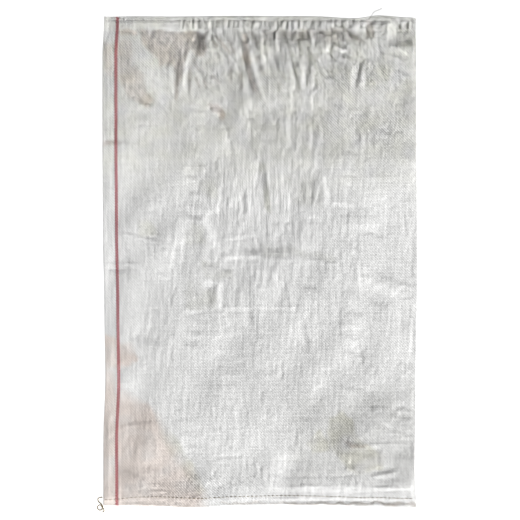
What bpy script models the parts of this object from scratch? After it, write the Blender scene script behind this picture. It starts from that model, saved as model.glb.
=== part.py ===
"""Woven polypropylene sack, empty, lying flat on a level floor with its marked face up.

A seamless tube of white woven cloth: its mouth is turned in and hemmed, and its bottom is turned under
and sewn shut. Two red warp tapes run down the left of the front. Both seams are chain stitched: the
mouth's thread ends in a short loose tail, and the bottom's runs off the left corner as a tangled chain.

X runs across the sack, +Y along it to the mouth, +Z up. The origin is on the floor under its middle.
"""

import math

import bmesh
import bpy

# The sack lying flat: its nominal size, and how far the side folds and the two ends wander from it.
# Each pair is a place along the edge, then the edge's own coordinate there.
SACK_WIDTH = 0.576
SACK_LENGTH = 0.900
LEFT_FOLD = [
    (-0.450, -0.2880), (-0.330, -0.2883), (-0.217, -0.2846), (-0.070, -0.2865),
    (0.040, -0.2887), (0.224, -0.2899), (0.372, -0.2900), (0.450, -0.2868),
]
RIGHT_FOLD = [
    (-0.450, 0.2883), (-0.385, 0.2850), (-0.250, 0.2868), (0.000, 0.2900),
    (0.200, 0.2888), (0.335, 0.2884), (0.450, 0.2874),
]
BOTTOM_EDGE = [
    (-0.288, -0.4485), (-0.200, -0.4490), (-0.118, -0.4524), (-0.044, -0.4476),
    (0.048, -0.4470), (0.120, -0.4474), (0.213, -0.4508), (0.270, -0.4524),
]
TOP_EDGE = [
    (-0.288, 0.4511), (-0.155, 0.4500), (-0.040, 0.4512), (0.100, 0.4506),
    (0.172, 0.4470), (0.218, 0.4524), (0.269, 0.4496), (0.288, 0.4488),
]
EDGE_REACH = 0.100  # how far into the sack the wander of an end edge is felt

# The cloth. Its wall stands in for tape cloth 0.15 mm thick, and the hem is two layers of it.
WALL = 0.0008
HEM_WALL = 0.0013
HEM_DEPTH = 0.025
SIDE_FOLD_RADIUS = 0.0016
FLAP_DEPTH = 0.020
FLAP_THICKNESS = 0.0014
STEP_RUN = 0.0004  # how much of the length a step at a raw edge takes
END_ROUNDING = 0.0010  # at the mouth's lip and the bottom fold

# How high the slack front panel stands, and how fast it comes down to the folds and to the bottom seam.
SLACK_HEIGHT = 0.0108
MOUTH_HEIGHT = 0.0114
SEAM_HEIGHT = 0.0032
SLACK_POWER = 4
SEAM_SLOPE_LENGTH = 0.140
MOUTH_SLOPE_LENGTH = 0.060
BILLOW = 0.0005
BILLOWS_ACROSS = 5.2  # radians for each unit of u, and the next two for each metre along
BILLOWS_ALONG = 9.0
BILLOW_SWELL = 11.0
BILLOW_LEAN = 2.0
PUCKER = 0.0006
PUCKERS_ACROSS = 4 * math.pi
PUCKER_LEAN = 8.0
PUCKER_START = 0.300  # the puckers grow from here
PUCKER_GROWTH = 0.150  # over this length

# The two red marker tapes, side by side on the front.
MARKER_X = -0.2628
MARKER_WIDTH = 0.0025
MARKER_SPACING = 0.0029
MARKER_THICKNESS = 0.0003

# The sewing. Threads ride just clear of the cloth, which is lifted off the floor to make room for them.
CLEARANCE = 0.0003
THREAD_DIAMETER = 0.0008
MOUTH_STITCH_Y = 0.4425
BOTTOM_STITCH_Y = -0.4325
HOP_RUN = 0.008  # in u, how far before a red tape a thread starts to hop over it
LIFT_AT_STITCHES = 0.0016
LIFT_LENGTH = 0.090

# Where things come along the sack, from the sizes above.
HALF = SACK_LENGTH / 2
MOUTH_HEM_EDGE = HALF - HEM_DEPTH
FLAP_EDGE = FLAP_DEPTH - HALF
BOTTOM_HEM_STATIONS = (BOTTOM_STITCH_Y, -0.438, -0.443, -0.447)
SEAM_SLOPE_START = FLAP_EDGE + 0.0015  # just past the step at the flap's raw edge
MOUTH_SLOPE_STATIONS = (0.280, 0.320, 0.355, 0.385, 0.408)

# The loose end of the mouth thread: out of the stitches, over the lip and down to the floor.
MOUTH_TAIL_DIAMETER = 0.0010
MOUTH_TAIL_ROUTE = [
    (0.1985, 0.4437, 0.0114), (0.2018, 0.4480, 0.0115), (0.2040, 0.4513, 0.0112),
    (0.2050, 0.4532, 0.0092), (0.2056, 0.4540, 0.0062), (0.2064, 0.4550, 0.0034),
    (0.2076, 0.4572, 0.0012), (0.2095, 0.4598, 0.0005), (0.2124, 0.4617, 0.0005),
    (0.2170, 0.4633, 0.0005), (0.2215, 0.4653, 0.0005), (0.2262, 0.4686, 0.0005),
]

# The chain of loops left where the bottom seam runs off the cloth, crumpled on the floor at the corner.
CHAIN_TAIL_DIAMETER = 0.0022
CHAIN_TAIL_ROUTE = [
    (-0.2901, -0.4325, 0.0038), (-0.2940, -0.4328, 0.0024), (-0.2975, -0.4352, 0.0012),
    (-0.2978, -0.4390, 0.0011), (-0.2948, -0.4425, 0.0011), (-0.2915, -0.4455, 0.0012),
    (-0.2893, -0.4500, 0.0012), (-0.2905, -0.4546, 0.0012), (-0.2945, -0.4566, 0.0012),
    (-0.2982, -0.4545, 0.0013), (-0.2988, -0.4502, 0.0020), (-0.2960, -0.4470, 0.0031),
    (-0.2925, -0.4470, 0.0038), (-0.2905, -0.4500, 0.0036), (-0.2875, -0.4535, 0.0026),
    (-0.2868, -0.4580, 0.0014), (-0.2895, -0.4608, 0.0012),
]

# How finely the cloth and threads are cut into faces.
FRONT_SPANS = 16
BACK_SPANS = 8
SEAM_SLOPE_SPANS = 7
FLAT_SPANS = 13
FOLD_POINTS = 3
MOUTH_TAIL_STEP = 0.0025
CHAIN_TAIL_STEP = 0.00275

CLOTH = ("white_tape_cloth", (0.83, 0.82, 0.80), 0.42)
MARKER = ("red_tape", (0.42, 0.02, 0.05), 0.38)
HEM_THREAD = ("white_thread", (0.72, 0.71, 0.68), 0.65)
SEAM_THREAD = ("brown_thread", (0.33, 0.25, 0.14), 0.70)


def clear_scene():
    for obj in list(bpy.data.objects):
        bpy.data.objects.remove(obj)


def material(name, colour, roughness):
    made = bpy.data.materials.get(name) or bpy.data.materials.new(name)
    made.use_nodes = True
    shader = made.node_tree.nodes["Principled BSDF"]
    shader.inputs["Base Color"].default_value = (*colour, 1)
    shader.inputs["Roughness"].default_value = roughness
    shader.inputs["Metallic"].default_value = 0
    return made


def ease(share):
    """Goes smoothly from 0 to 1 as share does."""
    held = min(1.0, max(0.0, share))
    return held * held * (3 - 2 * held)


def along(edge, at):
    """An edge's coordinate at a place along it, eased from each of its points to the next."""
    if at <= edge[0][0]:
        return edge[0][1]
    for (start, low), (end, high) in zip(edge, edge[1:]):
        if at <= end:
            return low + (high - low) * ease((at - start) / (end - start))
    return edge[-1][1]


def lift(y):
    """How far the underside of the back panel is off the floor at a nominal place along the sack."""
    at_mouth = LIFT_AT_STITCHES * ease((y - MOUTH_STITCH_Y + LIFT_LENGTH) / LIFT_LENGTH)
    past_stitches = BOTTOM_STITCH_Y - y
    if past_stitches > 0:
        return LIFT_AT_STITCHES * (1 - ease(past_stitches / (HALF + BOTTOM_STITCH_Y)))
    at_bottom = LIFT_AT_STITCHES * ease((LIFT_LENGTH + past_stitches) / LIFT_LENGTH)
    return max(at_mouth, at_bottom)


def raised_by_flap(y):
    """How far the flap turned under the bottom raises the two panels, which come down past its raw edge."""
    return FLAP_THICKNESS * ease((LIFT_LENGTH + FLAP_EDGE - y) / LIFT_LENGTH)


def slack(u, y):
    """The height of the front panel above the back's underside, u being -1 and 1 at the side folds."""
    to_seam = ease((y - BOTTOM_STITCH_Y) / SEAM_SLOPE_LENGTH)
    to_mouth = ease((y - HALF + MOUTH_SLOPE_LENGTH) / MOUTH_SLOPE_LENGTH)
    crown = SEAM_HEIGHT + (SLACK_HEIGHT - SEAM_HEIGHT) * to_seam
    crown += (MOUTH_HEIGHT - SLACK_HEIGHT) * to_mouth
    spread = 1 - abs(u) ** SLACK_POWER
    waves = BILLOW * math.sin(BILLOWS_ACROSS * u + BILLOWS_ALONG * y)
    waves *= math.cos(BILLOW_SWELL * y - BILLOW_LEAN * u)
    puckers = PUCKER * ease((y - PUCKER_START) / PUCKER_GROWTH)
    puckers *= math.sin(PUCKERS_ACROSS * u + PUCKER_LEAN * y)
    side = 2 * SIDE_FOLD_RADIUS
    return side + (crown - side) * spread + (waves * to_seam + puckers) * spread


def cloth_point(u, y, inset=0.0, front=True, under_flap=False):
    """A point on the sack's outer face, or inset into it, at a nominal place across and along the sack."""
    left = along(LEFT_FOLD, y)
    right = along(RIGHT_FOLD, y)
    x = (left + right) / 2 + u * ((right - left) / 2 - SIDE_FOLD_RADIUS)
    to_top = (along(TOP_EDGE, x) - HALF) * ease((y - HALF + EDGE_REACH) / EDGE_REACH)
    to_bottom = (along(BOTTOM_EDGE, x) + HALF) * ease((EDGE_REACH - HALF - y) / EDGE_REACH)
    z = lift(y)
    if front:
        z += raised_by_flap(y) + slack(u, y) - inset
    else:
        z += inset + (0 if under_flap else raised_by_flap(y))
    return (x, y + to_top + to_bottom, z)


def section(y, inset=0.0, under_flap=False, fronts=None):
    """The closed loop round the flattened tube at one station: front, right fold, back, left fold."""
    fronts = fronts or FRONT_COLUMNS
    backs = [1 - 2 * i / BACK_SPANS for i in range(BACK_SPANS + 1)]
    front = [cloth_point(u, y, inset, True, under_flap) for u in fronts]
    back = [cloth_point(u, y, inset, False, under_flap) for u in backs]
    return front + fold(front[-1], back[0], 1) + back + fold(back[-1], front[0], -1)


def fold(start, end, side):
    """The points of a half-round side fold, from one panel's edge to the other's."""
    made = []
    rise = (start[2] - end[2]) / 2
    middle = (start[2] + end[2]) / 2
    for step in range(1, FOLD_POINTS + 1):
        angle = math.pi * step / (FOLD_POINTS + 1)
        x = start[0] + side * abs(rise) * math.sin(angle)
        made.append((x, start[1], middle + rise * math.cos(angle)))
    return made


def marker_columns():
    """The columns of the front panel that the edges of the red tapes lie over."""
    reach = SACK_WIDTH / 2 - SIDE_FOLD_RADIUS
    edges = []
    for side in (-0.5, 0.5):
        middle = MARKER_X + side * MARKER_SPACING
        edges.append(((middle - MARKER_WIDTH / 2) / reach, (middle + MARKER_WIDTH / 2) / reach))
    return edges


MARKER_EDGES = marker_columns()
FRONT_COLUMNS = sorted(
    [2 * i / FRONT_SPANS - 1 for i in range(FRONT_SPANS + 1)] + [u for edges in MARKER_EDGES for u in edges]
)


def stations():
    """Nominal places along the sack between its hems, closer together where the cloth slopes to them."""
    span = SEAM_SLOPE_LENGTH / SEAM_SLOPE_SPANS
    slope = [SEAM_SLOPE_START + span * i for i in range(SEAM_SLOPE_SPANS + 1)]
    span = (MOUTH_SLOPE_STATIONS[0] - slope[-1]) / FLAT_SPANS
    flat = [slope[-1] + span * i for i in range(1, FLAT_SPANS)]
    return [*slope, *flat, *MOUTH_SLOPE_STATIONS]


def loft(name, rings, finish):
    """One closed solid through a row of rings, made by extruding the first to each of the others."""
    bm = bmesh.new()
    corners = [bm.verts.new(point) for point in rings[0]]
    first = [bm.edges.new(pair) for pair in zip(corners, corners[1:] + corners[:1])]
    edges = first
    for ring in rings[1:]:
        made = bmesh.ops.extrude_edge_only(bm, edges=edges)["geom"]
        twins = {}
        for face in (part for part in made if isinstance(part, bmesh.types.BMFace)):
            for edge in face.edges:
                if edge.verts[0] in corners and edge.verts[1] not in corners:
                    twins[edge.verts[0]] = edge.verts[1]
                if edge.verts[1] in corners and edge.verts[0] not in corners:
                    twins[edge.verts[1]] = edge.verts[0]
        corners = [twins[corner] for corner in corners]
        for corner, point in zip(corners, ring):
            corner.co = point
        edges = [bm.edges.get(pair) for pair in zip(corners, corners[1:] + corners[:1])]
    bmesh.ops.contextual_create(bm, geom=first)
    bmesh.ops.contextual_create(bm, geom=edges)
    bmesh.ops.recalc_face_normals(bm, faces=bm.faces)
    mesh = bpy.data.meshes.new(name)
    bm.to_mesh(mesh)
    bm.free()
    mesh.materials.append(material(*finish))
    mesh.shade_smooth()
    mesh.set_sharp_from_angle(angle=math.radians(40))
    obj = bpy.data.objects.new(name, mesh)
    bpy.context.scene.collection.objects.link(obj)
    return obj


def thread(name, route, diameter, finish, closed):
    """A round thread along a route, closed into a ring or ended square."""
    curve = bpy.data.curves.new(name, "CURVE")
    curve.dimensions = "3D"
    curve.bevel_depth = diameter / 2
    curve.bevel_resolution = 1 if closed else 2
    curve.use_fill_caps = not closed
    spline = curve.splines.new("POLY")
    spline.points.add(len(route) - 1)
    for point, place in zip(spline.points, route):
        point.co = (*place, 1)
    spline.use_cyclic_u = closed
    curve.materials.append(material(*finish))
    obj = bpy.data.objects.new(name, curve)
    bpy.context.scene.collection.objects.link(obj)
    return obj


def smooth_route(points, step):
    """Points about a step apart on the smooth curve (Catmull-Rom) through a route's own points."""
    ends = [points[0], *points, points[-1]]
    made = []
    for before, start, end, after in zip(ends, ends[1:], ends[2:], ends[3:]):
        pieces = max(1, round(math.dist(start, end) / step))
        for i in range(pieces):
            t = i / pieces
            made.append(tuple(
                0.5 * (2 * s + (e - b) * t + (2 * b - 5 * s + 4 * e - a) * t**2 + (3 * s - b - 3 * e + a) * t**3)
                for b, s, e, a in zip(before, start, end, after)
            ))
    return [*made, points[-1]]


def woven_tube():
    """The cloth: up the inside from the bottom seam, over the hemmed lip, down the outside, under the hem."""
    inside = [section(y, WALL) for y in [*stations(), MOUTH_HEM_EDGE - STEP_RUN]]
    hem = [section(y, HEM_WALL) for y in (MOUTH_HEM_EDGE, HALF - END_ROUNDING)]
    lip = [section(HALF, HEM_WALL - END_ROUNDING / 2), section(HALF, END_ROUNDING / 2)]
    outside = [section(y) for y in (HALF - END_ROUNDING, MOUTH_STITCH_Y, MOUTH_HEM_EDGE, *reversed(stations()))]
    under = [section(FLAP_EDGE + STEP_RUN)]
    under += [section(y, under_flap=True) for y in (FLAP_EDGE, *BOTTOM_HEM_STATIONS)]
    bottom = [section(-HALF, END_ROUNDING, under_flap=True)]
    return loft("woven_tube", inside + hem + lip + outside + under + bottom, CLOTH)


def marker_tapes():
    """Two flat red tapes down the front, from the lip to the bottom edge."""
    places = sorted([
        *BOTTOM_HEM_STATIONS, FLAP_EDGE, *stations(), MOUTH_HEM_EDGE, MOUTH_STITCH_Y, HALF - END_ROUNDING
    ])
    for side, (left, right) in zip(("left", "right"), MARKER_EDGES):
        rings = []
        for y in places:
            low = [cloth_point(u, y, -CLEARANCE) for u in (left, right)]
            high = [cloth_point(u, y, -CLEARANCE - MARKER_THICKNESS) for u in (right, left)]
            rings.append(low + high)
        loft("marker_tape_" + side, rings, MARKER)


def stitch_ring(name, y, under_flap, finish):
    """A seam's thread laid round the sack at one station, hopping over the red tapes."""
    clear = CLEARANCE + THREAD_DIAMETER / 2
    hop = CLEARANCE + MARKER_THICKNESS
    left, right = MARKER_EDGES[0][0], MARKER_EDGES[1][1]
    hopping = [left - HOP_RUN, left - HOP_RUN / 2, right + HOP_RUN / 2, right + HOP_RUN]
    columns = sorted([2 * i / (2 * FRONT_SPANS) - 1 for i in range(2 * FRONT_SPANS + 1)] + hopping)
    route = []
    for u, (x, place, z) in zip(columns, section(y, -clear, under_flap, columns)):
        over = hop if left - HOP_RUN < u < right + HOP_RUN else 0.0
        route.append((x, place, z + over))
    route += section(y, -clear, under_flap, columns)[len(columns):]
    return thread(name, route, THREAD_DIAMETER, finish, closed=True)


clear_scene()
woven_tube()
marker_tapes()
stitch_ring("mouth_hem_thread", MOUTH_STITCH_Y, False, HEM_THREAD)
stitch_ring("bottom_seam_thread", BOTTOM_STITCH_Y, True, SEAM_THREAD)
thread("mouth_thread_tail", smooth_route(MOUTH_TAIL_ROUTE, MOUTH_TAIL_STEP),
       MOUTH_TAIL_DIAMETER, HEM_THREAD, closed=False)
thread("bottom_chain_tail", smooth_route(CHAIN_TAIL_ROUTE, CHAIN_TAIL_STEP),
       CHAIN_TAIL_DIAMETER, SEAM_THREAD, closed=False)
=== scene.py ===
import math

import bmesh
import bpy
import numpy as np
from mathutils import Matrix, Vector
from mathutils.bvhtree import BVHTree


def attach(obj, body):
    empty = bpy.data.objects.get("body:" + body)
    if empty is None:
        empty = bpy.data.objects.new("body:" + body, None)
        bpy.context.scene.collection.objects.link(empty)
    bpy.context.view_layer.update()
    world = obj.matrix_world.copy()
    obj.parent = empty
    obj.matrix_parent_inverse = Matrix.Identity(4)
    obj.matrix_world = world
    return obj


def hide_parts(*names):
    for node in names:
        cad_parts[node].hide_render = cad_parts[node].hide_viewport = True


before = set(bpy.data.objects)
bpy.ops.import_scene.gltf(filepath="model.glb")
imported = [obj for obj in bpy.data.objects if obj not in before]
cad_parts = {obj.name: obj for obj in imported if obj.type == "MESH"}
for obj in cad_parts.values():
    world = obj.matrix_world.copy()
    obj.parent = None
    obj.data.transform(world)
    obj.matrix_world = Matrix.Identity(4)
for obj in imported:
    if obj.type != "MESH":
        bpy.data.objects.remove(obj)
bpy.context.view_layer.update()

# Studio: a white lit table under the sack, one soft lamp low on the right in front, and pale light from
# all round. The camera looks straight down, with the mouth of the sack at the top of the picture.
CAMERA_HEIGHT = 3.19
CAMERA_LENS = 120.0
PICTURE_MIDDLE_Y = 0.0037
LAMP_DISTANCE = 20.0
LAMP_AZIMUTH = -50.0
LAMP_ELEVATION = 27.0
LAMP_SIDE = 4.0
LAMP_WATTS = 6950.0
ROOM_LIGHT = 0.20
TABLE_GLOW = 0.86
TABLE_SIDE = 8.0

scene = bpy.context.scene
scene.view_settings.view_transform = "Standard"


def link(name, data):
    made = bpy.data.objects.new(name, data)
    scene.collection.objects.link(made)
    return made


camera = link("camera", bpy.data.cameras.new("camera"))
camera.data.lens = CAMERA_LENS
camera.data.clip_end = 50
camera.location = (0, PICTURE_MIDDLE_Y, CAMERA_HEIGHT)
scene.camera = camera

lamp_turn = math.radians(LAMP_AZIMUTH)
lamp_tilt = math.radians(LAMP_ELEVATION)
toward_lamp = Vector((
    math.cos(lamp_tilt) * math.cos(lamp_turn), math.cos(lamp_tilt) * math.sin(lamp_turn), math.sin(lamp_tilt)
))
lamp = link("lamp", bpy.data.lights.new("lamp", "AREA"))
lamp.data.size = LAMP_SIDE
lamp.data.energy = LAMP_WATTS
lamp.data.color = (1.0, 0.995, 0.985)
lamp.location = toward_lamp * LAMP_DISTANCE
lamp.rotation_mode = "QUATERNION"
lamp.rotation_quaternion = toward_lamp.to_track_quat("Z", "Y")

room = bpy.data.worlds.new("room")
scene.world = room
room.use_nodes = True
room.node_tree.nodes["Background"].inputs["Color"].default_value = (0.97, 0.985, 1.0, 1)
room.node_tree.nodes["Background"].inputs["Strength"].default_value = ROOM_LIGHT


class Wire:
    """The output of a material's node. Sums and products of wires add the Math nodes that they need."""

    def __init__(self, tree, socket=None):
        self.tree = tree
        self.socket = socket

    def node(self, kind, settings, values, output=0):
        made = self.tree.nodes.new(kind)
        for name, value in settings.items():
            if name == "stops":
                ramp = made.color_ramp.elements
                while len(ramp) < len(value):
                    ramp.new(1.0)
                for stop, (place, colour) in zip(ramp, value):
                    stop.position = place
                    stop.color = colour
            else:
                setattr(made, name, value)
        for name, value in values.items():
            if isinstance(value, Wire):
                self.tree.links.new(value.socket, made.inputs[name])
            else:
                made.inputs[name].default_value = value
        return Wire(self.tree, made.outputs[output])

    def maths(self, operation, *values):
        return self.node("ShaderNodeMath", {"operation": operation}, dict(enumerate(values)))

    def __add__(self, other):
        return self.maths("ADD", self, other)

    def __sub__(self, other):
        return self.maths("SUBTRACT", self, other)

    def __rsub__(self, other):
        return self.maths("SUBTRACT", other, self)

    def __mul__(self, other):
        return self.maths("MULTIPLY", self, other)

    def blend(self, low, high):
        """The colour low where this is 0 and high where it is 1."""
        return self.node("ShaderNodeMix", {"data_type": "RGBA"}, {0: self, 6: low, 7: high}, 2)

    __radd__ = __add__
    __rmul__ = __mul__


def finish(name, roughness, specular=0.5):
    """A new material, its empty wire and its Principled shader."""
    made = bpy.data.materials.new(name)
    made.use_nodes = True
    shader = made.node_tree.nodes["Principled BSDF"]
    shader.inputs["Roughness"].default_value = roughness
    shader.inputs["Specular IOR Level"].default_value = specular
    return made, Wire(made.node_tree), shader


def connect(wire, shader, name):
    wire.tree.links.new(wire.socket, shader.inputs[name])


table_paint, wire, shader = finish("white_table", 0.9)
place = wire.node("ShaderNodeTexCoord", {}, {}, "Object")
mottle = wire.node("ShaderNodeTexNoise", {}, {"Vector": place, "Scale": 3.0, "Detail": 4.0}, "Fac")
connect(mottle.blend((0.88, 0.88, 0.88, 1), (0.92, 0.92, 0.92, 1)), shader, "Base Color")
connect(mottle.blend((0.98, 0.98, 0.98, 1), (1, 1, 1, 1)), shader, "Emission Color")
shader.inputs["Emission Strength"].default_value = TABLE_GLOW
bm = bmesh.new()
bmesh.ops.create_grid(bm, x_segments=4, y_segments=4, size=TABLE_SIDE / 2)
table = link("table", bpy.data.meshes.new("table"))
bm.to_mesh(table.data)
bm.free()
table.data.materials.append(table_paint)

# Front panel: the marked face of the seamless tube of woven cloth, from one side fold to the other and
# from the turned bottom to the lip of the hemmed mouth. Its tapes are slit from white polypropylene film
# and woven ten to the inch. It lies slack, creased by packing, and the hem's stitches gather it.
SACK_LENGTH = 0.900
HALF = SACK_LENGTH / 2
LEFT_FOLD = [
    (-0.450, -0.2880), (-0.330, -0.2883), (-0.217, -0.2846), (-0.070, -0.2865),
    (0.040, -0.2887), (0.224, -0.2899), (0.372, -0.2900), (0.450, -0.2868),
]
RIGHT_FOLD = [
    (-0.450, 0.2883), (-0.385, 0.2850), (-0.250, 0.2868), (0.000, 0.2900),
    (0.200, 0.2888), (0.335, 0.2884), (0.450, 0.2874),
]
BOTTOM_EDGE = [
    (-0.288, -0.4485), (-0.200, -0.4490), (-0.118, -0.4524), (-0.044, -0.4476),
    (0.048, -0.4470), (0.120, -0.4474), (0.213, -0.4508), (0.270, -0.4524),
]
TOP_EDGE = [
    (-0.288, 0.4511), (-0.155, 0.4500), (-0.040, 0.4512), (0.100, 0.4506),
    (0.172, 0.4470), (0.218, 0.4524), (0.269, 0.4496), (0.288, 0.4488),
]
EDGE_REACH = 0.100
SIDE_RADIUS = 0.0016
MOUTH_STITCH_Y = 0.4425
BOTTOM_STITCH_Y = -0.4325
HEM_EDGE = 0.425
FLAP_EDGE = -0.430
FLAP_THICKNESS = 0.0014
SEAM_HEIGHT = 0.0032
SLACK_HEIGHT = 0.0108
MOUTH_HEIGHT = 0.0114
SEAM_SLOPE = 0.140
MOUTH_SLOPE = 0.060
LIFT = 0.0016
LIFT_LENGTH = 0.090
LIP_RADIUS = 0.0005
BOTTOM_RADIUS = 0.0022
TAPE = 0.00254
CLOTH_SPAN = (0.600, 0.930)  # what the whole of the cloth's UV map covers, in metres
MARKER_X = -0.2628


def ease(share):
    held = np.clip(share, 0.0, 1.0)
    return held * held * (3 - 2 * held)


def along(edge, at):
    """An edge's coordinate at places along it, eased from each of its points to the next."""
    spots, values = np.array(edge).T
    at = np.asarray(at, float)
    k = np.clip(np.searchsorted(spots, at) - 1, 0, len(spots) - 2)
    return values[k] + (values[k + 1] - values[k]) * ease((at - spots[k]) / (spots[k + 1] - spots[k]))


def back_height(y):
    """How far the back panel is off the table: over the folded bottom and over both rows of stitches."""
    at_mouth = LIFT * ease((y - MOUTH_STITCH_Y + LIFT_LENGTH) / LIFT_LENGTH)
    at_bottom = LIFT * ease((LIFT_LENGTH + BOTTOM_STITCH_Y - y) / LIFT_LENGTH)
    past = LIFT * (1 - ease((BOTTOM_STITCH_Y - y) / (HALF + BOTTOM_STITCH_Y)))
    raised = FLAP_THICKNESS * ease((LIFT_LENGTH + FLAP_EDGE - y) / LIFT_LENGTH)
    return np.where(y < BOTTOM_STITCH_Y, past, np.maximum(at_mouth, at_bottom)) + raised


def slack(u, y):
    """How far the slack front panel stands above the back one, u being -1 and 1 at the side folds."""
    to_seam = ease((y - BOTTOM_STITCH_Y) / SEAM_SLOPE)
    to_mouth = ease((y - HALF + MOUTH_SLOPE) / MOUTH_SLOPE)
    crown = SEAM_HEIGHT + (SLACK_HEIGHT - SEAM_HEIGHT) * to_seam + (MOUTH_HEIGHT - SLACK_HEIGHT) * to_mouth
    return 2 * SIDE_RADIUS + (crown - 2 * SIDE_RADIUS) * (1 - np.abs(u) ** 4)


def cloth_place(u, y):
    """Where a nominal place on the cloth lies, seen from above."""
    left, right = along(LEFT_FOLD, y), along(RIGHT_FOLD, y)
    x = (left + right) / 2 + u * ((right - left) / 2 - SIDE_RADIUS)
    top = (along(TOP_EDGE, x) - HALF) * ease((y - HALF + EDGE_REACH) / EDGE_REACH)
    bottom = (along(BOTTOM_EDGE, x) + HALF) * ease((EDGE_REACH - HALF - y) / EDGE_REACH)
    return x, y + top + bottom


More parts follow.
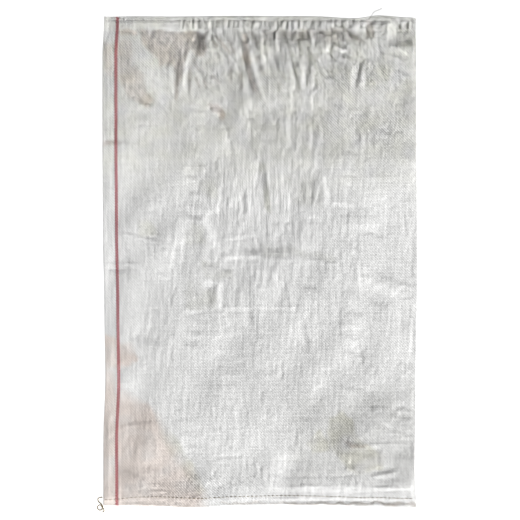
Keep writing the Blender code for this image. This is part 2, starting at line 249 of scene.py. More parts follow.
# The folds and creases that the front panel shows, in millimetres: how steep the flank is (above 0 it
# faces away from the lamp), half its width, and the line that it follows.
CREASES = [
    # Under the hem: the dark sides of the gathers, left to right.
    (0.08, 4.5, [(-110, 420), (-108, 405), (-110, 390), (-112, 375)]),
    (0.14, 2.5, [(-123, 375), (-118, 361), (-110, 348)]),
    (0.13, 2.5, [(-127, 361), (-129, 339), (-129, 309)]),
    (0.17, 2.5, [(-118, 339), (-114, 328), (-110, 318)]),
    (0.15, 2.2, [(-105, 337), (-101, 328), (-98, 318)]),
    (0.15, 2.2, [(-144, 397), (-147, 375), (-151, 350), (-153, 320), (-153, 298)]),
    (0.20, 2, [(-91, 416), (-85, 403), (-75, 394)]),
    (0.25, 2.8, [(-85, 418), (-75, 407), (-64, 394), (-52, 379)]),
    (0.19, 2, [(-59, 408), (-52, 394), (-44, 379)]),
    (0.19, 2.4, [(-90, 344), (-81, 335), (-72, 326)]),
    (0.12, 2.4, [(-57, 372), (-53, 353), (-55, 326)]),
    (0.15, 2.4, [(-37, 353), (-33, 331), (-35, 311)]),
    (0.19, 5.5, [(-29, 416), (-28, 397), (-26, 375), (-20, 353), (-15, 333), (-7, 313), (0, 291)]),
    (0.17, 3.6, [(-18, 421), (-9, 408), (-2, 396)]),
    (0.22, 2.2, [(-26, 421), (-22, 412), (-18, 405)]),
    (0.21, 3, [(-7, 379), (-2, 364), (4, 350), (9, 340)]),
    (0.28, 3, [(6, 425), (11, 416)]),
    (0.22, 2, [(9, 408), (11, 394)]),
    (0.28, 3, [(26, 423), (28, 407)]),
    (0.20, 2.4, [(28, 383), (29, 368), (33, 355), (42, 342), (52, 329)]),
    (0.20, 3.6, [(42, 425), (48, 408), (52, 396), (57, 385), (64, 374)]),
    (0.19, 4, [(59, 421), (63, 408)]),
    (0.21, 3, [(70, 408), (74, 392), (79, 377)]),
    (0.19, 3.6, [(77, 427), (79, 408)]),
    (0.25, 3.2, [(86, 427), (90, 408)]),
    (0.21, 3.4, [(61, 370), (64, 353), (68, 337), (72, 320), (77, 309)]),
    (0.20, 3.2, [(90, 405), (90, 379), (91, 361), (88, 342), (85, 328), (90, 313)]),
    (0.18, 3, [(94, 383), (98, 368), (105, 353)]),
    (0.19, 4, [(103, 421), (121, 420), (131, 412)]),
    (0.19, 3.6, [(101, 405), (107, 394), (116, 383)]),
    (0.20, 2.4, [(129, 397), (131, 379), (138, 366)]),
    (0.20, 2.2, [(134, 403), (145, 396), (156, 388)]),
    (0.16, 2.6, [(149, 383), (160, 375), (171, 368)]),
    (0.20, 3.4, [(149, 436), (156, 425), (166, 416), (182, 407)]),
    (0.17, 2.4, [(129, 350), (134, 340), (140, 331)]),
    (0.14, 2.8, [(158, 359), (162, 342), (166, 322)]),
    (0.17, 2.2, [(99, 344), (103, 333), (107, 320)]),
    (0.20, 3.4, [(190, 375), (186, 359), (182, 342), (178, 326), (184, 315)]),
    (0.18, 2.6, [(191, 374), (195, 364), (201, 355)]),
    (0.17, 2.2, [(193, 344), (197, 335), (201, 324)]),
    (0.17, 2.2, [(202, 340), (206, 333), (212, 324)]),
    (0.20, 5, [(199, 438), (201, 425), (206, 410)]),
    (0.16, 2.6, [(223, 427), (228, 423)]),
    (0.29, 2.4, [(252, 442), (256, 431), (261, 420)]),
    (0.24, 2.8, [(272, 440), (270, 418)]),
    (0.14, 3.6, [(232, 399), (254, 400), (283, 399)]),
    (0.17, 2.4, [(221, 388), (226, 377), (232, 368)]),
    (0.11, 3, [(245, 383), (258, 374), (270, 368)]),
    (0.14, 2.8, [(219, 355), (228, 344), (237, 333)]),
    (0.08, 5, [(252, 355), (256, 342), (258, 329)]),
    (0.08, 3.6, [(267, 337), (276, 320), (280, 302)]),
    (0.10, 2.4, [(63, 294), (66, 280), (68, 261)]),
    (0.14, 2.4, [(79, 276), (86, 267), (94, 259)]),
    (0.11, 2.6, [(190, 283), (195, 270), (199, 256)]),
    (0.12, 2.2, [(127, 304), (129, 289)]),
    (0.14, 2, [(35, 329), (35, 309)]),
    (0.09, 3.6, [(0, 309), (6, 296), (11, 283)]),
    (0.14, 3, [(-228, 307), (-223, 296), (-210, 290), (-191, 287)]),
    (0.07, 4, [(-221, 329), (-212, 316), (-204, 304)]),
    (0.17, 1.6, [(-131, 279), (-112, 279), (-98, 274)]),
    (0.19, 1.8, [(-96, 281), (-79, 281), (-68, 276), (-57, 267)]),
    (0.06, 5, [(-129, 298), (-123, 285)]),
    (0.06, 5, [(-92, 298), (-74, 287)]),
    # Under the hem: the bright sides of the same gathers.
    (-0.26, 2, [(-118, 418), (-123, 405)]),
    (-0.19, 2.8, [(-129, 390), (-132, 372), (-136, 350), (-140, 328), (-135, 309)]),
    (-0.19, 1.8, [(-141, 392), (-144, 377)]),
    (-0.11, 2.4, [(-160, 353), (-162, 335), (-160, 302)]),
    (-0.29, 1.9, [(-92, 442), (-91, 420), (-92, 405)]),
    (-0.24, 3, [(-92, 405), (-88, 390), (-79, 370)]),
    (-0.26, 1.7, [(-88, 421), (-81, 408), (-70, 395)]),
    (-0.20, 1.6, [(-74, 421), (-66, 410), (-59, 403)]),
    (-0.20, 1.8, [(-79, 394), (-72, 383), (-63, 372)]),
    (-0.19, 1.8, [(-63, 392), (-55, 377), (-44, 361), (-35, 342)]),
    (-0.10, 5.5, [(-70, 328), (-64, 307), (-57, 287)]),
    (-0.07, 7, [(-85, 368), (-72, 350), (-64, 335)]),
    (-0.26, 1.7, [(-35, 442), (-34, 420)]),
    (-0.20, 1.6, [(-36, 394), (-33, 372), (-29, 355)]),
    (-0.22, 1.6, [(-33, 414), (-26, 401), (-18, 388)]),
    (-0.22, 1.6, [(-24, 423), (-18, 410), (-16, 397)]),
    (-0.16, 3.4, [(-13, 375), (-9, 357), (-4, 339), (4, 320)]),
    (-0.11, 4.5, [(-31, 339), (-24, 316), (-15, 283)]),
    (-0.16, 2.6, [(-39, 283), (-33, 269), (-26, 254)]),
    (-0.14, 3, [(-4, 328), (2, 313), (11, 294)]),
    (-0.28, 2.6, [(2, 425), (4, 401), (6, 383), (11, 362), (15, 348)]),
    (-0.22, 3.8, [(11, 407), (15, 394), (18, 377), (22, 361)]),
    (-0.34, 2.2, [(30, 425), (31, 403), (34, 383)]),
    (-0.24, 1.8, [(48, 414), (57, 401), (61, 388), (70, 375)]),
    (-0.17, 3.6, [(44, 379), (52, 366), (57, 351), (61, 333), (61, 313)]),
    (-0.20, 1.6, [(66, 397), (70, 379)]),
    (-0.16, 3.6, [(72, 372), (77, 359), (81, 344), (79, 315)]),
    (-0.24, 1.8, [(92, 421), (96, 410), (99, 397)]),
    (-0.26, 2.4, [(92, 396), (96, 385), (103, 372)]),
    (-0.22, 2.2, [(96, 361), (99, 346), (96, 315)]),
    (-0.22, 2.2, [(123, 407), (125, 383)]),
    (-0.18, 2.6, [(127, 397), (144, 390), (158, 386), (169, 377)]),
    (-0.19, 1.6, [(155, 421), (166, 408)]),
    (-0.13, 3.6, [(173, 368), (173, 346), (169, 320)]),
    (-0.22, 1.8, [(190, 364), (190, 339), (191, 313)]),
    (-0.16, 7, [(239, 442), (241, 423), (236, 405)]),
    (-0.12, 3.6, [(213, 443), (219, 432)]),
    (-0.10, 3.6, [(221, 407), (239, 394), (259, 385), (282, 381)]),
    (-0.10, 5, [(239, 381), (261, 362), (282, 344)]),
    (-0.10, 2, [(96, 313), (96, 265)]),
    (-0.10, 2.4, [(57, 313), (58, 263)]),
    (-0.07, 4, [(156, 309), (164, 283)]),
    (-0.07, 4, [(248, 307), (256, 283)]),
    (-0.06, 6, [(-239, 291), (-221, 283), (-202, 276)]),
    (-0.05, 6, [(-237, 283), (-232, 258)]),
    # From the packing fold to the middle: dark sides.
    (0.08, 3.6, [(-287, 220), (-261, 219)]),
    (0.06, 4, [(-261, 219), (-221, 217)]),
    (0.07, 2, [(-287, 145), (-278, 143)]),
    (0.07, 2, [(-287, 182), (-272, 186)]),
    (0.07, 3, [(-123, 180), (-110, 178), (-98, 173)]),
    (0.09, 2.4, [(-140, 158), (-118, 155), (-110, 142)]),
    (0.07, 3, [(-129, 129), (-114, 127), (-103, 121)]),
    (0.10, 2.4, [(-98, 132), (-92, 114), (-88, 99), (-85, 88)]),
    (0.07, 2.6, [(-155, 121), (-151, 105), (-145, 94), (-132, 85), (-118, 78), (-109, 77)]),
    (0.07, 6, [(-125, 74), (-114, 57), (-103, 33)]),
    (0.14, 2.4, [(-81, 188), (-79, 166)]),
    (0.10, 1.8, [(-75, 166), (-74, 138)]),
    (0.10, 2, [(-68, 156), (-64, 136)]),
    (0.12, 2.2, [(-70, 136), (-68, 121), (-67, 107)]),
    (0.15, 2.2, [(-61, 118), (-59, 101)]),
    (0.12, 1.8, [(-70, 99), (-66, 81)]),
    (0.16, 3.2, [(-33, 121), (-28, 107), (-26, 85)]),
    (0.10, 2.2, [(-39, 151), (-31, 132), (-26, 120)]),
    (0.09, 1.8, [(-39, 107), (-37, 90)]),
    (0.14, 2.2, [(-40, 79), (-39, 64), (-31, 55)]),
    (0.11, 2.4, [(-53, 224), (-52, 210), (-44, 195)]),
    (0.08, 2, [(-59, 250), (-57, 223)]),
    (0.10, 2.6, [(-18, 217), (-11, 202), (-4, 188)]),
    (0.12, 4, [(-18, 265), (-7, 254), (2, 243)]),
    (0.14, 3.4, [(-81, 269), (-74, 261), (-64, 250)]),
    (0.14, 1.5, [(-259, 56), (-239, 52), (-221, 47), (-202, 43), (-184, 40)]),
    (0.09, 1.3, [(-202, 41), (-184, 38), (-169, 33), (-153, 26)]),
    (0.12, 4.6, [(0, 188), (4, 169), (7, 147), (11, 129), (15, 110), (20, 90)]),
    (0.05, 3, [(55, 166), (57, 138)]),
    (0.12, 3, [(68, 177), (72, 156), (79, 138)]),
    (0.07, 3, [(77, 143), (88, 144), (101, 138)]),
    (0.05, 2.4, [(94, 136), (98, 118)]),
    (0.05, 2.6, [(74, 132), (81, 120), (88, 110)]),
    (0.07, 3.4, [(88, 120), (99, 116), (114, 107)]),
    (0.09, 3, [(186, 269), (184, 250)]),
    (0.21, 3.6, [(177, 248), (180, 236), (186, 219)]),
    (0.20, 2.8, [(193, 248), (195, 239), (199, 224)]),
    (0.19, 2.6, [(202, 245), (206, 236), (212, 223)]),
    (0.16, 2.8, [(223, 245), (228, 239), (237, 232)]),
    (0.14, 2, [(237, 243), (243, 234)]),
    (0.17, 3, [(247, 239), (254, 237), (259, 234)]),
    (0.12, 2.2, [(206, 221), (210, 208)]),
    (0.10, 2, [(221, 208), (223, 193)]),
    (0.11, 2.6, [(156, 204), (166, 199), (178, 191)]),
    (0.07, 2.2, [(86, 261), (88, 243), (88, 221)]),
    (0.11, 2.4, [(79, 221), (86, 206)]),
    (0.08, 2.4, [(99, 247), (103, 202)]),
    (0.14, 3.2, [(57, 232), (61, 219), (66, 208)]),
    (0.11, 3, [(35, 230), (40, 219), (48, 208)]),
    (0.11, 2.2, [(31, 261), (39, 245)]),
    (0.10, 2.4, [(61, 261), (66, 248), (72, 236)]),
    (0.10, 2.2, [(127, 94), (138, 83), (147, 68)]),
    (0.05, 5, [(180, 99), (199, 90), (213, 77)]),
    (0.10, 3, [(191, 55), (210, 50), (228, 40)]),
    (0.14, 2.4, [(158, 42), (166, 29), (178, 20)]),
    (0.08, 1.8, [(13, 69), (37, 70), (61, 69)]),
    (0.10, 2, [(265, 90), (270, 66), (272, 37)]),
    (0.07, 1.6, [(278, 107), (278, 74)]),
    (0.07, 1.6, [(252, 112), (278, 114)]),
    (0.14, 1.6, [(278, 177), (283, 167), (285, 155)]),
    # From the packing fold to the middle: bright sides.
    (-0.03, 3.6, [(-287, 230), (-261, 230)]),
    (-0.10, 1.8, [(-134, 149), (-116, 146)]),
    (-0.10, 2, [(-131, 120), (-109, 117)]),
    (-0.10, 3.4, [(-140, 118), (-134, 101), (-120, 92), (-107, 81)]),
    (-0.14, 6, [(-103, 92), (-98, 77), (-92, 63), (-85, 46), (-75, 29)]),
    (-0.09, 1.6, [(-96, 101), (-90, 85)]),
    (-0.09, 1.6, [(-79, 109), (-77, 85)]),
    (-0.11, 1.4, [(-35, 109), (-33, 90)]),
    (-0.10, 2, [(-48, 120), (-44, 99)]),
    (-0.09, 1.8, [(-44, 156), (-42, 140)]),
    (-0.10, 1.6, [(-33, 79), (-28, 61)]),
    (-0.08, 2.4, [(-18, 105), (-4, 94)]),
    (-0.07, 5, [(-72, 258), (-64, 234), (-61, 202)]),
    (-0.06, 4, [(-37, 232), (-26, 210)]),
    (-0.09, 1.8, [(-74, 39), (-52, 42), (-37, 44), (-22, 47), (4, 48)]),
    (-0.10, 1.6, [(-210, 50), (-188, 46)]),
    (-0.07, 1.4, [(-210, 40), (-180, 35)]),
    (-0.09, 1.8, [(13, 180), (17, 132), (22, 81)]),
    (-0.08, 1.6, [(28, 177), (31, 132), (33, 77)]),
    (-0.07, 1.6, [(39, 177), (42, 121), (46, 77)]),
    (-0.14, 4, [(114, 158), (121, 132), (131, 107)]),
    (-0.08, 3, [(129, 107), (156, 105), (180, 101)]),
    (-0.08, 2.4, [(151, 166), (180, 160)]),
    (-0.08, 1.8, [(149, 153), (166, 140), (178, 131)]),
    (-0.06, 6, [(221, 114), (239, 92)]),
    (-0.11, 1.8, [(188, 237), (191, 213)]),
    (-0.08, 1.8, [(188, 208), (190, 184)]),
    (-0.11, 1.8, [(92, 259), (93, 224), (93, 188)]),
    (-0.09, 3.4, [(48, 258), (52, 232), (55, 206)]),
    (-0.07, 5, [(2, 234), (11, 213)]),
    (-0.06, 6, [(151, 66), (184, 63), (228, 59)]),
    (-0.06, 2, [(86, 81), (118, 81)]),
    (-0.08, 1.8, [(280, 118), (280, 81)]),
    (-0.14, 1.8, [(274, 186), (280, 178), (287, 171)]),
    # Along and below the middle fold: dark sides.
    (0.10, 5, [(-29, 22), (-15, 20), (4, 18)]),
    (0.08, 5, [(4, 20), (37, 18), (74, 15), (120, 9)]),
    (0.09, 1.4, [(-7, 10), (18, 10), (74, 6)]),
    (0.10, 1.8, [(74, 6), (110, 5), (129, 0), (134, -13)]),
    (0.07, 1.3, [(-188, 24), (-156, 22), (-138, 20)]),
    (0.07, 2, [(-289, 0), (-261, -1), (-217, -2)]),
    (0.07, 2, [(-289, -17), (-267, -17), (-243, -18)]),
    (0.08, 2, [(-190, -18), (-178, -22), (-169, -28)]),
    (0.08, 3, [(-105, -4), (-88, -7), (-79, -15)]),
    (0.10, 2, [(-74, -13), (-59, -17), (-48, -17)]),
    (0.10, 3, [(-132, -44), (-125, -52), (-114, -64)]),
    (0.11, 2.8, [(-96, -48), (-90, -70), (-85, -86)]),
    (0.07, 2, [(-169, -70), (-166, -78), (-153, -80)]),
    (0.07, 2, [(-147, -80), (-129, -79)]),
    (0.07, 1.3, [(-214, -75), (-214, -92), (-201, -95)]),
    (0.07, 1.6, [(-61, -37), (-60, -83)]),
    (0.09, 1.8, [(-43, -48), (-43, -85)]),
    (0.09, 1.6, [(-19, -48), (-18, -86)]),
    (0.08, 1.6, [(-13, -59), (-12, -85)]),
    (0.14, 3.2, [(-18, -85), (-15, -103), (-11, -118), (-2, -127), (9, -134)]),
    (0.10, 2.4, [(-81, -101), (-70, -114), (-59, -127)]),
    (0.08, 2.4, [(-129, -107), (-103, -110), (-85, -110)]),
    (0.08, 2.2, [(-127, -127), (-103, -131)]),
    (0.09, 3.2, [(-155, -125), (-147, -140), (-136, -151), (-109, -155)]),
    (0.05, 6, [(-236, -138), (-202, -145), (-169, -156)]),
    (0.06, 1.4, [(-261, -198), (-217, -200)]),
    (0.07, 3, [(-70, -186), (-61, -201), (-37, -206)]),
    (0.10, 2.6, [(127, 0), (134, -15), (142, -28)]),
    (0.09, 2, [(155, -2), (166, -13)]),
    (0.10, 1.8, [(162, -6), (166, -20)]),
    (0.09, 3, [(177, -22), (191, -24), (208, -28)]),
    (0.09, 3, [(213, -15), (228, -26), (243, -35)]),
    (0.13, 2.2, [(256, -37), (270, -40), (287, -48)]),
    (0.09, 3.4, [(278, -9), (285, -29)]),
    (0.13, 1.4, [(256, -68), (272, -67), (287, -65)]),
    (0.08, 3, [(186, -50), (199, -64), (210, -75), (226, -81)]),
    (0.06, 4.5, [(153, -53), (177, -63)]),
    (0.09, 3, [(90, -42), (110, -55), (127, -70)]),
    (0.07, 2.4, [(77, -40), (94, -55)]),
    (0.08, 2.4, [(74, -6), (79, -28)]),
    (0.07, 2.4, [(46, -39), (53, -57)]),
    (0.10, 2.2, [(37, -68), (44, -81), (50, -92)]),
    (0.13, 3.4, [(81, -103), (85, -125), (86, -144), (94, -164)]),
    (0.08, 2.4, [(147, -83), (149, -103), (147, -125)]),
    (0.12, 2.8, [(149, -125), (158, -134), (169, -140), (182, -144)]),
    (0.07, 3.6, [(155, -92), (177, -96), (197, -99)]),
    (0.08, 3.4, [(153, -162), (169, -167), (188, -175)]),
    (0.11, 2.4, [(186, -160), (190, -175), (191, -191)]),
    (0.08, 2.6, [(236, -149), (241, -158), (247, -169)]),
    (0.13, 1.6, [(285, -125), (285, -153), (285, -177)]),
    (0.09, 2.6, [(256, -182), (269, -190), (280, -201)]),
    (0.08, 2.4, [(96, -171), (99, -191), (98, -215)]),
    (0.07, 2.4, [(42, -182), (42, -217)]),
    (0.06, 5, [(4, -195), (18, -210)]),
    # Along and below the middle fold: bright sides.
    (-0.11, 2.6, [(-75, 4), (-52, 7), (-28, 8), (7, 7)]),
    (-0.07, 5, [(-75, 0), (-55, -7)]),
    (-0.07, 2.4, [(-256, -3), (-228, -9), (-213, -20)]),
    (-0.06, 1.6, [(-191, -28), (-164, -31)]),
    (-0.07, 5, [(-105, -39), (-79, -40)]),
    (-0.13, 3.4, [(-75, -40), (-74, -70), (-70, -88)]),
    (-0.10, 2.8, [(-48, 2), (-46, -26), (-46, -55)]),
    (-0.06, 6, [(-31, -40), (-28, -88), (-26, -132)]),
    (-0.09, 2, [(-70, -88), (-63, -103), (-53, -121)]),
    (-0.13, 1.4, [(-147, -93), (-101, -91)]),
    (-0.14, 1.4, [(-77, -87), (-37, -86), (4, -85), (55, -86), (96, -86)]),
    (-0.07, 2.4, [(-136, -131), (-112, -145)]),
    (-0.06, 4, [(-241, -145), (-224, -162), (-199, -167)]),
    (-0.06, 1.2, [(-166, -96), (-166, -147)]),
    (-0.10, 6, [(213, -40), (232, -52), (250, -66)]),
    (-0.07, 5, [(228, -70), (254, -92), (258, -125)]),
    (-0.07, 4, [(55, -63), (66, -88)]),
    (-0.08, 2.6, [(158, -118), (188, -125)]),
    (-0.12, 2.2, [(278, -103), (278, -153), (280, -188)]),
    (-0.08, 4, [(94, -142), (107, -158), (116, -169)]),
    (-0.06, 5, [(-258, -188), (-245, -191)]),
    (-0.05, 5, [(-79, -160), (-53, -177)]),
    # Lower third and bottom hem: dark sides.
    (0.05, 6, [(-285, -269), (-265, -280)]),
    (0.05, 2.4, [(-261, -305), (-239, -299), (-212, -294), (-188, -293)]),
    (0.06, 4, [(-219, -377), (-193, -381), (-178, -385), (-160, -393)]),
    (0.07, 3.4, [(-259, -383), (-239, -386), (-221, -394)]),
    (0.07, 4, [(-232, -392), (-202, -401)]),
    (0.07, 4, [(-202, -335), (-191, -350)]),
    (0.06, 4, [(-191, -401), (-173, -416)]),
    (0.09, 3.4, [(-134, -383), (-123, -392), (-112, -403)]),
    (0.09, 1.8, [(-206, -419), (-166, -420), (-129, -424)]),
    (0.12, 2, [(-173, -430), (-138, -431), (-107, -432)]),
    (0.08, 3, [(-127, -416), (-118, -425), (-109, -432)]),
    (0.14, 2.2, [(-86, -385), (-81, -397), (-72, -410)]),
    (0.09, 1.8, [(-70, -396), (-66, -416)]),
    (0.08, 1.4, [(-88, -361), (-64, -360), (-37, -358), (-20, -356)]),
    (0.09, 2.2, [(-83, -304), (-72, -308)]),
    (0.08, 2, [(-61, -318), (-59, -337)]),
    (0.08, 3.2, [(-132, -337), (-116, -339), (-103, -346)]),
    (0.05, 4, [(-145, -311), (-129, -316), (-110, -322)]),
    (0.07, 1.8, [(-134, -351), (-105, -353)]),
    (0.05, 2, [(-156, -271), (-140, -272)]),
    (0.05, 2.4, [(-156, -289), (-112, -289)]),
    (0.06, 2.6, [(-26, -256), (-22, -285)]),
    (0.08, 1.6, [(-24, -366), (-22, -381)]),
    (0.10, 2.2, [(-13, -364), (-7, -383), (-11, -403)]),
    (0.14, 2.2, [(2, -375), (4, -401)]),
    (0.10, 3, [(-4, -263), (6, -274), (15, -280)]),
    (0.09, 3.2, [(4, -236), (7, -263)]),
    (0.08, 2.6, [(39, -206), (40, -224)]),
    (0.08, 3, [(142, -224), (158, -232), (177, -234), (197, -234)]),
    (0.10, 1.6, [(180, -219), (182, -230)]),
    (0.14, 2, [(199, -267), (221, -266), (241, -269)]),
    (0.16, 2.2, [(247, -270), (265, -269), (278, -274), (285, -283)]),
    (0.09, 3.2, [(236, -278), (248, -283), (267, -287), (285, -289)]),
    (0.06, 3, [(190, -276), (202, -287), (215, -300)]),
    (0.06, 5, [(247, -298), (283, -302)]),
    (0.12, 2, [(234, -311), (258, -313), (269, -318), (285, -324)]),
    (0.10, 1.8, [(219, -324), (243, -324), (265, -322)]),
    (0.15, 1.6, [(193, -334), (221, -333), (239, -331), (265, -330), (285, -331)]),
    (0.08, 5, [(245, -357), (282, -359)]),
    (0.09, 2.6, [(210, -307), (217, -320), (221, -329)]),
    (0.07, 3.4, [(155, -330), (169, -333), (180, -335), (191, -337)]),
    (0.04, 3.6, [(156, -305), (166, -320), (175, -331)]),
    (0.08, 1.8, [(85, -328), (110, -329), (138, -329), (156, -330)]),
    (0.11, 2.2, [(94, -307), (98, -324)]),
    (0.06, 2.8, [(138, -351), (166, -352), (184, -355), (219, -357)]),
    (0.16, 3.4, [(160, -372), (173, -381)]),
    (0.17, 2.8, [(202, -391), (217, -389), (232, -386), (256, -381)]),
    (0.10, 3.2, [(66, -311), (68, -340)]),
    (0.10, 2.8, [(53, -337), (66, -346), (74, -361)]),
    (0.10, 1.8, [(57, -379), (59, -399)]),
    (0.10, 1.5, [(4, -391), (28, -393), (39, -397), (52, -398), (92, -396), (129, -397), (166, -394), (204, -393)]),
    (0.09, 2.6, [(131, -374), (136, -386), (142, -399)]),
    (0.07, 2, [(109, -385), (110, -399)]),
    (0.10, 1.8, [(72, -408), (88, -409), (99, -410)]),
    (0.12, 1.5, [(204, -413), (221, -413), (241, -412)]),
    (0.06, 1.4, [(206, -421), (259, -424)]),
    (0.07, 1.5, [(239, -402), (287, -401)]),
    (0.22, 2.4, [(46, -443), (74, -443), (110, -442), (147, -443), (184, -442), (230, -444), (287, -444)]),
    (0.14, 2.2, [(-72, -443), (-37, -444), (4, -444), (46, -443)]),
    (0.12, 2.2, [(-259, -444), (-221, -443), (-202, -445), (-155, -447)]),
    (0.05, 4, [(98, -274), (109, -293)]),
    (0.09, 2, [(286, -223), (284, -239)]),
    # Lower third and bottom hem: bright sides.
    (-0.08, 3, [(-258, -221), (-248, -228), (-232, -234)]),
    (-0.06, 3.4, [(-256, -239), (-250, -248)]),
    (-0.07, 1.6, [(-261, -309), (-239, -302), (-217, -300)]),
    (-0.08, 2.8, [(-289, -328), (-276, -320), (-263, -312)]),
    (-0.11, 3.6, [(-147, -322), (-140, -339), (-136, -353), (-129, -361), (-112, -365)]),
    (-0.14, 2.4, [(-147, -381), (-134, -392), (-125, -399), (-116, -408), (-110, -416)]),
    (-0.09, 1.2, [(-224, -415), (-184, -415), (-155, -417)]),
    (-0.08, 1.5, [(-204, -421), (-166, -425), (-127, -430)]),
    (-0.11, 5, [(-94, -401), (-85, -408), (-72, -412)]),
    (-0.10, 1.6, [(-88, -381), (-86, -399)]),
    (-0.09, 1.8, [(-66, -390), (-63, -410)]),
    (-0.07, 1.5, [(-90, -357), (-64, -355), (-26, -353)]),
    (-0.08, 4.4, [(-44, -259), (-42, -309), (-46, -350)]),
    (-0.07, 2.6, [(-90, -256), (-85, -272), (-79, -287)]),
    (-0.06, 1.6, [(-134, -346), (-109, -349)]),
    (-0.09, 2, [(-7, -366), (-2, -385)]),
    (-0.14, 3.2, [(201, -274), (213, -285), (224, -294), (241, -305)]),
    (-0.09, 2, [(171, -267), (184, -282), (197, -296)]),
    (-0.12, 1.2, [(239, -327), (265, -327), (285, -326)]),
    (-0.10, 3.4, [(190, -316), (210, -324)]),
    (-0.10, 3.4, [(191, -339), (223, -340)]),
    (-0.08, 3, [(226, -346), (237, -362)]),
    (-0.10, 2.8, [(204, -397), (230, -395), (256, -389)]),
    (-0.08, 1.8, [(96, -298), (103, -322)]),
    (-0.08, 1.8, [(110, -311), (116, -329)]),
    (-0.10, 2.2, [(50, -342), (63, -353), (72, -366)]),
    (-0.07, 3.6, [(4, -418), (74, -418), (147, -420), (287, -418)]),
    (-0.06, 1.6, [(74, -414), (147, -414), (206, -415)]),
    (-0.08, 2, [(228, -418), (287, -417)]),
    (-0.08, 1.5, [(4, -437), (147, -437), (287, -438)]),
    (-0.06, 5, [(206, -212), (228, -223)]),
    (-0.06, 5, [(258, -212), (269, -228)]),
    (-0.06, 6, [(94, -232), (105, -258)]),
]
# Where the hem puckers between its stitches, along the mouth, in millimetres.
PUCKERS = [
    -142, -134, -126, -116, -105, -92, -81, -59, -50, -43, -35, -22, -15, -2, 6, 13, 31, 37,
    48, 55, 68, 79, 92, 107, 120, 134, 145, 160, 169, 180, 256, 267, 278
]
CREASE_HALO = 5.0  # how many times wider than its flank a crease's way back to level is
CREASE_REACH = 7.0
STEEPNESS = 1.35
GRID_LOSS = 1.4  # how much wider, in millimetres, the grid makes a flank, at the cost of its steepness
lamp_ground = np.array([math.cos(lamp_turn), math.sin(lamp_turn)])


def ramp(q):
    """-1 below -1 and 1 above 1, and straight between them, with its corners a little rounded."""
    return (np.sqrt((q + 1) ** 2 + 0.06) - np.sqrt((q - 1) ** 2 + 0.06)) / 2


def press(ground, height, slope, width, line, painted_flank=None):
    """Adds one crease to a height map, or its painted shade and light to a map of tones: the flank rises towards the
    lamp above 0.
    """
    x, y = ground
    reach = CREASE_REACH * width
    spots = np.array(line, float)
    low, high = spots.min(0) - reach, spots.max(0) + reach
    rows = np.flatnonzero((y[:, 0] > low[1]) & (y[:, 0] < high[1]))
    columns = np.flatnonzero((x[0] > low[0]) & (x[0] < high[0]))
    if not len(rows) or not len(columns):
        return
    window = slice(rows[0], rows[-1] + 1), slice(columns[0], columns[-1] + 1)
    x, y = x[window], y[window]
    steps = np.diff(spots, axis=0)
    lengths = np.hypot(*steps.T)
    nearest = np.full(x.shape, np.inf)
    across = np.zeros(x.shape)
    share = np.zeros(x.shape)
    gone = 0.0
    for start, step, length in zip(spots, steps, lengths):
        gone_here = ((x - start[0]) * step[0] + (y - start[1]) * step[1]) / length
        held = np.clip(gone_here, 0, length)
        off = np.hypot(x - start[0] - held * step[0] / length, y - start[1] - held * step[1] / length)
        near = off < nearest
        right = np.sign((x - start[0]) * step[1] - (y - start[1]) * step[0])
        nearest = np.where(near, off, nearest)
        across = np.where(near, right * off, across)
        share = np.where(near, (gone + gone_here) / lengths.sum(), share)
        gone += length
    chord = spots[-1] - spots[0]
    turned = np.sign(chord[1] * lamp_ground[0] - chord[0] * lamp_ground[1]) or 1.0
    q = across * turned / width
    fade = ease(share / 0.16) * ease((1 - share) / 0.24)
    if painted_flank is not None:
        # Painted shade on a flank that turns from the lamp, painted light on one that turns to it.
        painted_flank[window] += slope * ease(0.5 + (1.15 * width - nearest) / 2.4) * ease(share / 0.08) * ease((1 - share) / 0.12)
        return
    rise = STEEPNESS * slope * (width + GRID_LOSS) / (1 - 1 / CREASE_HALO)
    height[window] += rise * (ramp(q) - ramp(q / CREASE_HALO)) * fade


def rumple(ground, seed, low, high, lean=0.0, spread=math.pi):
    """Random waves with wavelengths between low and high, about 1 deep. Their crests run near lean."""
    x, y = ground
    draw = np.random.default_rng(seed)
    total = np.zeros(x.shape)
    count = 28
    for _ in range(count):
        size = low * (high / low) ** draw.random()
        way = lean + spread * (draw.random() - 0.5)
        total += np.cos(2 * math.pi * (x * math.cos(way) + y * math.sin(way)) / size + 7 * draw.random())
    return total / math.sqrt(count / 2)


def bump_at(x, y, middle_x, middle_y, radius_x, radius_y, turn=0.0):
    """A smooth hill, 1 high, over an ellipse."""
    a = math.radians(turn)
    across = (x - middle_x) * math.cos(a) + (y - middle_y) * math.sin(a)
    up = (y - middle_y) * math.cos(a) - (x - middle_x) * math.sin(a)
    return np.exp(-((across / radius_x) ** 2) - (up / radius_y) ** 2)


